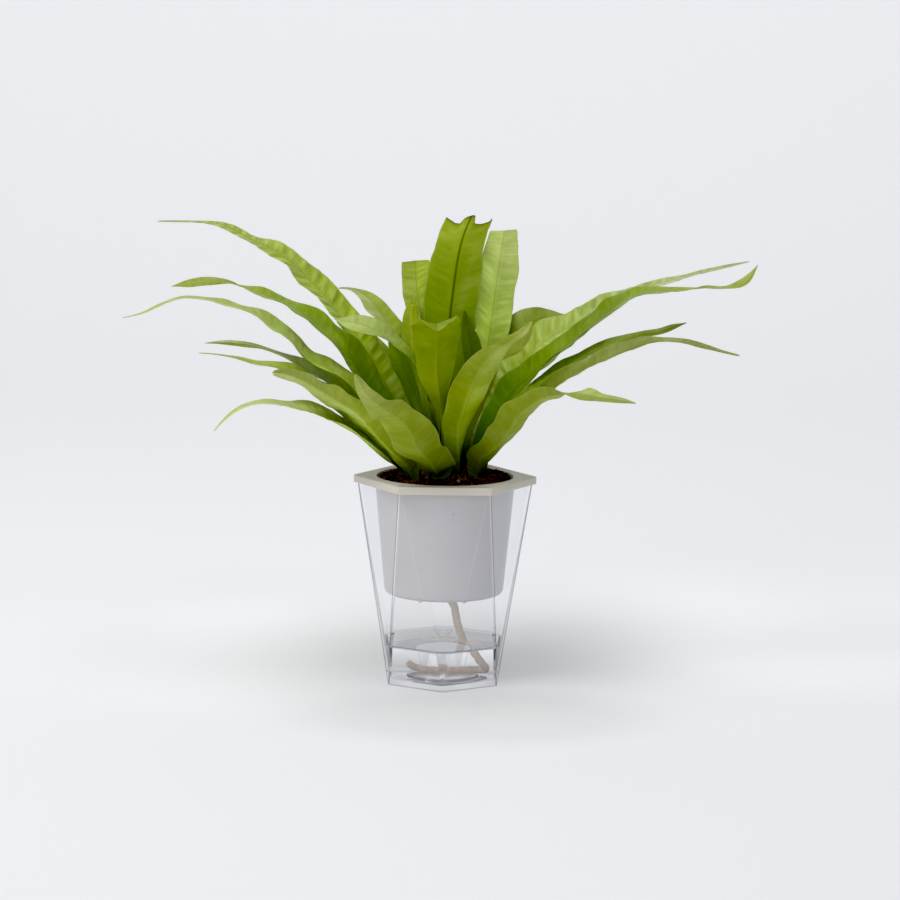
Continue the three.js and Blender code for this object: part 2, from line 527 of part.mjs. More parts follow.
    [-59.4, 44.1, 209.1, 14.4, -2, 3.2],
    [-69.8, 47, 220.4, 14.5, -1, 2.7],
    [-81, 50.6, 231, 14, -4, 2.2],
    [-92.6, 55.1, 241.2, 11.8, -6, 1.7],
    [-106.2, 61.2, 248.8, 9, -11, 1.2],
    [-121.1, 68.5, 254.2, 6.1, -9, 0.8],
    [-135.7, 76, 260.5, 4, -14, 0.5],
    [-152, 84.5, 261.8, 2.4, -12, 0.3],
    [-164.6, 91.1, 261.6, 1.5, -18, 0.2],
    [-177.3, 97.9, 261.1, 0.8, -25, 0.1],
  ]],
  frond_left_2: [152, [
    [-8, -9.2, 126, 3.5, 1, 1.8],
    [-7.7, -9.4, 132.6, 3.8, 12, 2.1],
    [-7.5, -9.7, 140.6, 5, 24, 2.7],
    [-7.3, -10.1, 150.5, 7.1, 31, 3],
    [-8.7, -9.3, 160.2, 9.3, 26, 3.1],
    [-11.5, -6.7, 169.4, 11.1, 29, 2.9],
    [-14.6, -4.3, 178.6, 12.4, 30, 2.6],
    [-18.6, -2.1, 187.5, 12.8, 27, 2.2],
    [-24.9, 1.8, 194.3, 12.4, 14, 1.8],
    [-32.6, 6.5, 200.2, 11.6, 3, 1.5],
    [-41, 11.6, 204.8, 9.7, -15, 1.2],
    [-50.5, 17.1, 207.4, 7.1, -33, 0.8],
    [-58.4, 21.5, 208.2, 4.4, -42, 0.5],
    [-65.9, 25.5, 209.1, 1.1, -8, 0.1],
  ]],
  frond_left_3: [166, [
    [-17, 6.1, 125.4, 3.9, -1, 2],
    [-19.4, 7.9, 133.7, 4.8, -31, 2.6],
    [-23, 9.6, 142.4, 6.1, -35, 3.3],
    [-29.6, 10.9, 153.7, 8.2, -18, 3.8],
    [-36.6, 12.2, 164.7, 10.5, -9, 4.1],
    [-44, 13.8, 175.4, 12.7, -9, 4.1],
    [-51.1, 13.6, 186.4, 14.6, -10, 3.8],
    [-59.6, 12.8, 196.4, 15.7, -8, 3.5],
    [-69.2, 13.6, 205, 15.8, -3, 2.9],
    [-79.6, 16.6, 212.8, 15.1, -2, 2.4],
    [-91.5, 20.4, 218.4, 13, -1, 1.9],
    [-103.9, 24.3, 222.9, 10, -3, 1.3],
    [-116.6, 28.1, 226.7, 6.9, -2, 0.9],
    [-129.4, 31.6, 229.8, 4.2, 20, 0.5],
    [-142.7, 35.2, 229.6, 2.9, 64, 0.3],
    [-152.8, 37.8, 227.9, 2.3, 82, 0.2],
    [-162.6, 40.2, 226, 0.5, 37, 0.1],
  ]],
  frond_left_4: [183, [
    [-16, -1, 126.2, 3.3, 0, 1.7],
    [-21.2, -1.2, 134.2, 4.4, -49, 2.4],
    [-27.4, -2.1, 143.1, 5.2, -45, 2.8],
    [-35.8, -5.2, 155.1, 7.1, -31, 3.3],
    [-44.6, -8.6, 166.6, 9.2, -21, 3.5],
    [-54.4, -9.9, 177, 11.1, -14, 3.5],
    [-65.7, -8.1, 185.1, 12.7, -9, 3.3],
    [-78.6, -6.1, 190.6, 13.6, -6, 3],
    [-88.1, -4.7, 200.8, 13.9, -9, 2.6],
    [-99.5, -3.9, 209, 13.3, -8, 2.1],
    [-111.7, -3.8, 215.9, 11.5, -6, 1.6],
    [-125.2, -4, 219.8, 8.8, -5, 1.2],
    [-138.9, -4.6, 222.8, 6.1, -1, 0.8],
    [-152.8, -5.2, 223.2, 4, -6, 0.5],
    [-166, -5.9, 218.4, 2.6, -13, 0.3],
    [-175.5, -6.4, 213.9, 1.6, -16, 0.2],
    [-185.8, -6.9, 211.2, 0.8, -16, 0.1],
  ]],
  frond_left_5: [186, [
    [-21, -0.3, 124.8, 2.9, 0, 1.5],
    [-22.7, -0.1, 130.9, 3.8, -51, 2],
    [-28.9, -0, 138.4, 4.9, -43, 2.6],
    [-37.4, 3.6, 147.1, 7, -30, 2.9],
    [-45.9, 7.4, 155.8, 9, -23, 3],
    [-54.6, 8.7, 164.6, 10.8, -21, 2.8],
    [-63.8, 7.5, 173, 11.7, -20, 2.5],
    [-74, 5, 180, 11.6, -14, 2],
    [-84.9, 0.7, 185.6, 10.2, -8, 1.5],
    [-95.6, -3.3, 191.3, 7.4, -4, 1],
    [-107.1, -6.5, 195.2, 4.6, -6, 0.6],
    [-119, -9.1, 197.3, 2.8, -25, 0.3],
    [-128.6, -10.6, 198, 1.6, -44, 0.2],
    [-138.1, -11.8, 197.6, 0.5, -22, 0],
  ]],
  frond_left_6: [192, [
    [-20, -7, 125.5, 2.8, 0, 1.4],
    [-24.2, -8.3, 130.6, 3.3, -43, 1.8],
    [-31.3, -9.4, 137.2, 4.4, -49, 2.3],
    [-40.5, -9.2, 145.1, 6.4, -40, 2.7],
    [-48.9, -9.3, 153.8, 8.3, -29, 2.8],
    [-57.4, -11, 162.5, 9.8, -22, 2.6],
    [-66.7, -15.1, 170.5, 10.6, -20, 2.2],
    [-76.7, -19.6, 177.3, 10.5, -16, 1.8],
    [-86.9, -21.7, 183.4, 9.3, -19, 1.4],
    [-98.2, -23.2, 186.9, 6.7, -15, 0.9],
    [-109.8, -24.7, 188.6, 4.2, -9, 0.5],
    [-121.3, -26.4, 191.4, 2.4, -9, 0.3],
    [-130.5, -28, 192.9, 1.4, -11, 0.2],
    [-139.8, -29.9, 193.7, 0.6, -16, 0.1],
  ]],
  frond_left_7: [206, [
    [-16.9, -24.2, 122.7, 3.1, 2, 1.6],
    [-19.6, -25.3, 129.3, 4, 44, 2.2],
    [-23.9, -26.8, 134.5, 5.1, 47, 2.7],
    [-29.8, -28.8, 141, 6.8, 26, 2.8],
    [-35.5, -31.5, 147.7, 8.6, 18, 2.9],
    [-41.4, -34.3, 154.2, 10.3, 16, 2.7],
    [-47.4, -37.9, 160.5, 11.4, 22, 2.4],
    [-53.8, -42.1, 166.1, 12, 26, 2.1],
    [-61.1, -44.5, 170.5, 11.7, 21, 1.7],
    [-68.3, -45.6, 174.8, 10.8, 18, 1.4],
    [-75.6, -47.1, 179.2, 9.3, 23, 1.1],
    [-83.1, -49.2, 182.7, 6.7, 34, 0.8],
    [-89.4, -51.5, 184.7, 4.1, 51, 0.4],
    [-95.6, -54.3, 185.7, 1.6, 79, 0.2],
  ]],
  frond_left_8: [200, [
    [-20.9, -19.2, 124, 1.8, -1, 0.9],
    [-22.9, -18.8, 128.1, 2.3, -23, 1.3],
    [-25.6, -18.4, 131.7, 3.5, -41, 1.9],
    [-30.9, -20.5, 136.6, 5.5, -39, 2.2],
    [-36.3, -23.8, 141.5, 7.3, -34, 2.2],
    [-42.3, -25.5, 147.4, 8.8, -31, 1.9],
    [-48.3, -25, 153, 9.4, -30, 1.6],
    [-54.6, -24.4, 158.3, 9, -26, 1.2],
    [-61.1, -27.1, 163.5, 7.4, -28, 0.9],
    [-68, -31.4, 168, 4.4, -34, 0.5],
    [-74.3, -34, 170.8, 1.1, -46, 0.1],
  ]],
  frond_left_9: [202, [
    [-22.9, -13.6, 123.8, 2.1, 0, 1.1],
    [-25.9, -15.8, 129, 2.8, -42, 1.5],
    [-32.6, -19, 134.7, 4.2, -24, 2.2],
    [-40.5, -21.1, 142.4, 6.6, -22, 2.8],
    [-48.4, -25.6, 150, 8.5, -21, 2.9],
    [-57.6, -30.5, 155.7, 10.1, -18, 2.7],
    [-67.2, -31.5, 160.3, 10.9, -14, 2.3],
    [-77.2, -33, 164, 10.9, -12, 1.9],
    [-87.6, -35.6, 165.9, 9.5, -10, 1.4],
    [-97.9, -38.8, 167.4, 7, -7, 0.9],
    [-108.1, -42.6, 167.3, 4.4, -3, 0.5],
    [-117.6, -46.3, 163.8, 2.7, -6, 0.3],
    [-123.9, -48.8, 158.8, 1.7, -9, 0.2],
    [-129.4, -51, 152.7, 0.7, -7, 0.1],
  ]],
  frond_right_1: [13, [
    [17, -2.2, 125.8, 4.1, 0, 2],
    [18.3, -0.5, 136.1, 4.7, 24, 2.5],
    [21.9, 1.6, 146.2, 6, 33, 3.3],
    [28.5, 4.2, 159.1, 8.2, 29, 3.8],
    [36.3, 6.2, 171.4, 10.8, 24, 4.2],
    [46.6, 5, 181.9, 12.7, 11, 4.1],
    [57.4, 4.2, 192, 14.5, 3, 3.8],
    [69, 6.2, 200.7, 15.6, 0, 3.4],
    [80.6, 8.7, 209.4, 15.9, 0, 3],
    [92.2, 11.8, 218.3, 15.2, 1, 2.4],
    [104.8, 15.4, 226, 13.1, 3, 1.9],
    [119.3, 19.7, 229.3, 10, 8, 1.3],
    [134.4, 24.3, 229.3, 6.8, 3, 0.8],
    [149.6, 29, 230.4, 4.4, -8, 0.5],
    [164.9, 33.4, 230.4, 2.7, -33, 0.3],
    [175.3, 36.2, 233.7, 2.4, -84, 0.3],
    [182.3, 38, 242.1, 0.7, -58, 0.1],
  ]],
  frond_right_2: [16, [
    [15, 5.7, 126, 3.9, 0, 1.9],
    [16.3, 8.3, 135.5, 4.5, 16, 2.4],
    [18.3, 11.9, 145.8, 5.8, 23, 3.1],
    [23.9, 17.6, 158.8, 7.7, 13, 3.5],
    [30.6, 22.8, 171.3, 9.9, 10, 3.8],
    [38.8, 26.5, 183.1, 12, 13, 3.8],
    [49.1, 28.4, 193.4, 13.7, 17, 3.6],
    [60.6, 29.6, 202.4, 15.1, 22, 3.3],
    [73.5, 31.2, 209, 14.8, 13, 2.7],
    [85.8, 32.8, 217, 14.2, 8, 2.3],
    [98.8, 35, 223.6, 12.1, 5, 1.7],
    [112.8, 37.7, 228.6, 9.3, 6, 1.2],
    [127.2, 40.6, 232.2, 6.4, 7, 0.8],
    [141.7, 43.6, 236, 4.2, 10, 0.5],
    [156.4, 46.9, 239.4, 2.7, 17, 0.3],
    [167.5, 49.6, 241.8, 1.7, 23, 0.2],
    [178.7, 52.6, 244, 0.8, 25, 0.1],
  ]],
  frond_right_3: [-4, [
    [20.9, -7.6, 124.5, 3.4, 0, 1.7],
    [22.5, -8.7, 133, 3.8, 26, 2],
    [24.4, -10, 140.5, 5, 42, 2.7],
    [29.8, -11.4, 149.5, 6.6, 32, 3],
    [35.6, -13.5, 158.2, 8.5, 23, 3.3],
    [42.1, -15.7, 166.5, 10.2, 15, 3.3],
    [48.9, -16.4, 174.2, 11.7, 11, 3.1],
    [56.5, -13.6, 180.9, 12.6, 8, 2.8],
    [65.2, -10.3, 186, 12.8, 6, 2.4],
    [74.2, -8.3, 190.9, 12.2, 8, 1.9],
    [83.2, -7.3, 195.7, 10.6, 11, 1.5],
    [92.7, -6.9, 199.6, 8.1, 15, 1.1],
    [102.5, -7.1, 202.6, 5.6, 19, 0.7],
    [112.3, -7.5, 205.6, 3.7, 26, 0.4],
    [122.3, -8.1, 207.4, 2.3, 47, 0.3],
    [129.4, -8.6, 210, 1.7, 66, 0.2],
    [136.6, -9.1, 212.4, 0.5, 30, 0],
  ]],
  frond_right_4: [-14, [
    [19, -14.4, 124.6, 3, 0, 1.5],
    [22.9, -15.2, 133.2, 3.5, -31, 1.9],
    [27.5, -16.2, 141, 4.6, -42, 2.5],
    [35, -18.3, 150.8, 6.2, -34, 2.8],
    [42.8, -21, 160.3, 7.8, -26, 3],
    [50.9, -23.1, 169.5, 9.4, -20, 3],
    [59.5, -23.7, 177.9, 10.7, -17, 2.8],
    [69, -24.7, 185.1, 11.4, -14, 2.5],
    [79.7, -26.4, 190.5, 11.6, -16, 2.1],
    [90.3, -28.4, 196, 11.1, -18, 1.8],
    [101.2, -30.8, 200.8, 9.5, -18, 1.4],
    [112.2, -33.4, 204.7, 7.3, -20, 1],
    [123.8, -36.2, 205.6, 5.1, -22, 0.6],
    [135.4, -39, 204.6, 3.4, -26, 0.4],
    [146.6, -41.8, 202.1, 2.2, -40, 0.2],
    [155, -43.9, 199.9, 1.3, -45, 0.1],
    [163.4, -46, 198.1, 0.6, -54, 0.1],
  ]],
  frond_right_5: [44, [
    [11, 12.2, 126.2, 2.3, 0, 1.2],
    [13.6, 13.9, 130.6, 3, 3, 1.7],
    [17.2, 16.2, 138.1, 4.7, -1, 2.4],
    [21.6, 20.3, 147.5, 7.1, -6, 3],
    [25.6, 25.7, 156.9, 9.4, -10, 3.2],
    [29.6, 31, 166.4, 11.4, -10, 3],
    [33.7, 36.8, 175.8, 12.9, -10, 2.7],
    [37.7, 42.7, 185.3, 13.8, -10, 2.4],
    [41.7, 46.5, 195.1, 14, -4, 2],
    [46.9, 49.4, 204.3, 12.7, 24, 1.7],
    [55.5, 55, 208.7, 9, 41, 1.1],
    [66, 64, 208.4, 5.8, 35, 0.6],
    [75, 72.3, 206.4, 3.5, 42, 0.4],
    [83.5, 80.3, 202.2, 1.2, 67, 0.1],
  ]],
  frond_young: [118, [
    [-6, 4.5, 126.3, 1.1, -28, 0.5],
    [-6, 5.7, 130.6, 1.3, -28, 0.7],
    [-5.9, 7.3, 136.9, 1.6, -27, 0.8],
    [-5.8, 10, 146.2, 2.1, -27, 0.8],
    [-7.2, 12.7, 155.3, 2.4, -27, 0.7],
    [-11.2, 16, 165.5, 2.8, -28, 0.6],
    [-14.9, 19.4, 175.8, 2.6, -27, 0.4],
    [-18.3, 22.6, 186.2, 2.1, -26, 0.3],
    [-19.1, 25.8, 197.2, 2.1, -27, 0.3],
    [-19.6, 28.8, 208.2, 2.2, -27, 0.3],
    [-19.8, 31, 216.6, 1.9, -26, 0.2],
  ]],
};

// A closed thin blade: at each station a shallow V section of left margin, upper midrib,
// right margin and lower midrib, turned about the spine by the roll.
function blade(azimuth, rows) {
  const n = rows.length;
  const az = THREE.MathUtils.degToRad(azimuth);
  const across = new THREE.Vector3(-Math.sin(az), Math.cos(az), 0);
  const c = rows.map((r) => new THREE.Vector3(r[0], r[1], r[2]));
  const v = [];
  rows.forEach((row, i) => {
    const t = c[Math.min(i + 1, n - 1)].clone().sub(c[Math.max(i - 1, 0)]).normalize();
    const s = across.clone().addScaledVector(t, -across.dot(t)).normalize();
    const up = t.clone().cross(s);
    const a = THREE.MathUtils.degToRad(row[4]);
    const side = s.clone().multiplyScalar(Math.cos(a)).addScaledVector(up, Math.sin(a));
    const normal = t.clone().cross(side);
    const half = BLADE_HALF * (1 - (0.6 * i) / (n - 1));
    const hw = row[3];
    const cup = row[5];
    v.push(c[i].clone().addScaledVector(side, hw));
    v.push(c[i].clone().addScaledVector(normal, half - cup));
    v.push(c[i].clone().addScaledVector(side, -hw));
    v.push(c[i].clone().addScaledVector(normal, -half - cup));
  });
  const f = [];
  for (let i = 0; i < n - 1; i++) {
    const p = 4 * i;
    const q = p + 4;
    // both skins of each half blade are split along the same diagonal
    f.push([p, p + 1, q + 1], [p, q + 1, q]);
    f.push([p + 1, p + 2, q + 1], [p + 2, q + 2, q + 1]);
    f.push([p + 2, p + 3, q + 3], [p + 2, q + 3, q + 2]);
    f.push([p + 3, p, q + 3], [p, q, q + 3]);
  }
  const e = 4 * (n - 1);
  f.push([0, 3, 1], [1, 3, 2], [e, e + 1, e + 3], [e + 1, e + 2, e + 3]);
  const g = new THREE.BufferGeometry();
  g.setAttribute('position', new THREE.Float32BufferAttribute(v.flatMap((p) => [p.x, p.y, p.z]), 3));
  g.setIndex(f.flat());
  g.computeVertexNormals();
  return g;
}

const FROND_COLOURS = {
  left: 0x7aa329, front: 0x9aab2e, right: 0x86ad35, centre: 0x7fa62c,
  inner: 0x3f6b16, young: 0xb9b53a, back: 0x8fb548,
};

// ---- assembly ----
const fern = new THREE.Group();
const planter = new THREE.Group();
const plant = new THREE.Group();
fern.add(planter, plant);

function piece(group, name, geometry, material) {
  const mesh = new THREE.Mesh(geometry, new THREE.MeshStandardMaterial(material));
  mesh.name = name;
  group.add(mesh);
}
piece(planter, 'outer_cup', fromSolid(cupSolid), { color: 0xf2f5f7, roughness: 0.05, metalness: 0, transparent: true, opacity: 0.3 });
piece(planter, 'inner_pot', fromSolid(potSolid), { color: 0xe6e4df, roughness: 0.4, metalness: 0 });
piece(planter, 'wick', wickGeometry, { color: 0xd8cabc, roughness: 0.95, metalness: 0 });
piece(planter, 'reservoir_water', fromSolid(waterSolid), { color: 0xe8f0f4, roughness: 0.02, metalness: 0, transparent: true, opacity: 0.25 });
piece(planter, 'potting_mix', fromSolid(mixSolid), { color: 0x3a2519, roughness: 1, metalness: 0 });
piece(plant, 'crown', crownGeometry, { color: 0x33210f, roughness: 0.95, metalness: 0 });
for (const [name, [azimuth, rows]] of Object.entries(FRONDS)) {
  piece(plant, name, blade(azimuth, rows), { color: FROND_COLOURS[name.split('_')[1]], roughness: 0.45, metalness: 0, side: THREE.DoubleSide });
}

export default fern;
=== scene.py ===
import math

import bpy
import numpy as np
from mathutils import Matrix, Vector


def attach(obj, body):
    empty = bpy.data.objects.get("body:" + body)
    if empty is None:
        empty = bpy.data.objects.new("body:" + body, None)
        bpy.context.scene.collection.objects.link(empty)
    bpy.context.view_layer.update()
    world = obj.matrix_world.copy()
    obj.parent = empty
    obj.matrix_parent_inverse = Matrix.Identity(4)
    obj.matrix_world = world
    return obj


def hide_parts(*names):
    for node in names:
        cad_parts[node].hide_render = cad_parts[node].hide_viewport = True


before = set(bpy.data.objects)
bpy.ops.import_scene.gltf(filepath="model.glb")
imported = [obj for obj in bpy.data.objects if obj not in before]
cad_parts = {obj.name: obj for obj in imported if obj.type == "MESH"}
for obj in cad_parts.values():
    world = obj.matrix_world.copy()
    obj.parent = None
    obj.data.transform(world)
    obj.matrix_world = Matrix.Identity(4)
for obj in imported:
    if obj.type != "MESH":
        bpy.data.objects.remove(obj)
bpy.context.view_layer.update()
scene = bpy.context.scene
MM = 0.001

# ---------------------------------------------------------------- camera
def make_camera():
    pos = Vector((2.63632, -1497.20175, 347.42263)) * MM
    p, r = math.radians(8.0443515), math.radians(0.74867262)
    fwd = Vector((0, math.cos(p), -math.sin(p)))
    right = Vector((1, 0, 0))
    up = right.cross(fwd)
    r2 = right * math.cos(r) + up * math.sin(r)
    u2 = -right * math.sin(r) + up * math.cos(r)
    data = bpy.data.cameras.new("camera")
    data.lens, data.sensor_width = 104, 36
    data.clip_start, data.clip_end = 0.05, 30
    cam = bpy.data.objects.new("camera", data)
    cam.matrix_world = Matrix((
        (r2.x, u2.x, -fwd.x, pos.x), (r2.y, u2.y, -fwd.y, pos.y),
        (r2.z, u2.z, -fwd.z, pos.z), (0, 0, 0, 1)))
    scene.collection.objects.link(cam)
    scene.camera = cam


make_camera()

# ---------------------------------------------------------------- small tools
def mesh_object(name, verts, faces, mats, face_mat=None, smooth=True, uvs=None, attrs=None):
    """A mesh object from points in mm. uvs is {map name: (n, 2) per point}, attrs {name: (n,) floats}."""
    v = np.asarray(verts, float) * MM
    me = bpy.data.meshes.new(name)
    me.from_pydata(v.tolist(), [], faces if isinstance(faces, list) else faces.tolist())
    for m in mats:
        me.materials.append(m)
    if face_mat is not None:
        me.polygons.foreach_set("material_index", np.asarray(face_mat, np.int32))
    if smooth is True:
        me.shade_smooth()
    elif smooth is not False:
        me.polygons.foreach_set("use_smooth", np.asarray(smooth, bool))
    loops = np.empty(len(me.loops), np.int32)
    me.loops.foreach_get("vertex_index", loops)
    for key, uv in (uvs or {}).items():
        layer = me.uv_layers.new(name=key)
        layer.data.foreach_set("uv", np.asarray(uv, np.float32)[loops].ravel())
    for key, val in (attrs or {}).items():
        a = me.attributes.new(key, "FLOAT", "POINT")
        a.data.foreach_set("value", np.asarray(val, np.float32))
    me.validate()
    me.update()
    ob = bpy.data.objects.new(name, me)
    scene.collection.objects.link(ob)
    return ob


def place(ob, node):
    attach(ob, "root")
    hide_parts(node)
    return ob


def rings_to_faces(n_rings, n, wrap=True, close=False):
    """Quads between rings of n points each. wrap joins each ring's ends, close joins the last ring to the first."""
    f = []
    last = n_rings if close else n_rings - 1
    for j in range(last):
        a, b = j * n, ((j + 1) % n_rings) * n
        for i in range(n if wrap else n - 1):
            k = (i + 1) % n
            f.append((a + i, a + k, b + k, b + i))
    return f


def smoothstep(a, b, x):
    t = np.clip((np.asarray(x, float) - a) / (b - a), 0, 1)
    return t * t * (3 - 2 * t)


def slopes(x, y):
    """Slopes for a smooth curve through points that may be unevenly spaced."""
    h = np.diff(x)
    d = np.diff(y, axis=0) / (h[:, None] if y.ndim > 1 else h)
    m = np.empty_like(y, float)
    hh = h[:, None] if y.ndim > 1 else h
    m[1:-1] = (d[:-1] * hh[1:] + d[1:] * hh[:-1]) / (hh[:-1] + hh[1:])
    m[0], m[-1] = d[0] * 1.5 - m[1] * 0.5, d[-1] * 1.5 - m[-2] * 0.5
    return m


def limited(x, y):
    """The same for one number, with no overshoot."""
    h, d = np.diff(x), np.diff(y) / np.diff(x)
    m = np.zeros_like(y, float)
    for i in range(1, len(y) - 1):
        if d[i - 1] * d[i] > 0:
            w1, w2 = 2 * h[i] + h[i - 1], h[i] + 2 * h[i - 1]
            m[i] = (w1 + w2) / (w1 / d[i - 1] + w2 / d[i])
    m[0], m[-1] = d[0], d[-1]
    return m


def along(x, y, m, q):
    """The smooth curve through (x, y) with slopes m, read at q."""
    i = np.clip(np.searchsorted(x, q, side="right") - 1, 0, len(x) - 2)
    h = x[i + 1] - x[i]
    t = (q - x[i]) / h
    a, b, c, d = 2 * t**3 - 3 * t**2 + 1, t**3 - 2 * t**2 + t, -2 * t**3 + 3 * t**2, t**3 - t**2
    if y.ndim > 1:
        a, b, c, d, h = (w[:, None] for w in (a, b, c, d, h))
    return a * y[i] + b * h * m[i] + c * y[i + 1] + d * h * m[i + 1]


# ---------------------------------------------------------------- materials
def node(nt, kind, inputs=None, **attrs):
    n = nt.nodes.new(kind)
    for k, v in attrs.items():
        setattr(n, k, v)
    for k, v in (inputs or {}).items():
        s = n.inputs[k]
        if isinstance(v, bpy.types.NodeSocket):
            nt.links.new(v, s)
        else:
            s.default_value = v
    return n


def calc(nt, op, a, b=None, c=None, clamp=False):
    ins = {0: a}
    if b is not None:
        ins[1] = b
    if c is not None:
        ins[2] = c
    return node(nt, "ShaderNodeMath", ins, operation=op, use_clamp=clamp).outputs[0]


def blend(nt, fac, a, b, mode="MIX"):
    return node(nt, "ShaderNodeMix", {0: fac, 6: a, 7: b}, data_type="RGBA", blend_type=mode).outputs[2]


def ramp(nt, x, lo, hi, a=0.0, b=1.0, kind="SMOOTHSTEP"):
    return node(nt, "ShaderNodeMapRange", {0: x, 1: lo, 2: hi, 3: a, 4: b}, interpolation_type=kind).outputs[0]


def rgba(c):
    return (*c, 1.0)


def new_material(name):
    m = bpy.data.materials.new(name)
    m.use_nodes = True
    nt = m.node_tree
    nt.nodes.clear()
    return m, nt, node(nt, "ShaderNodeOutputMaterial")

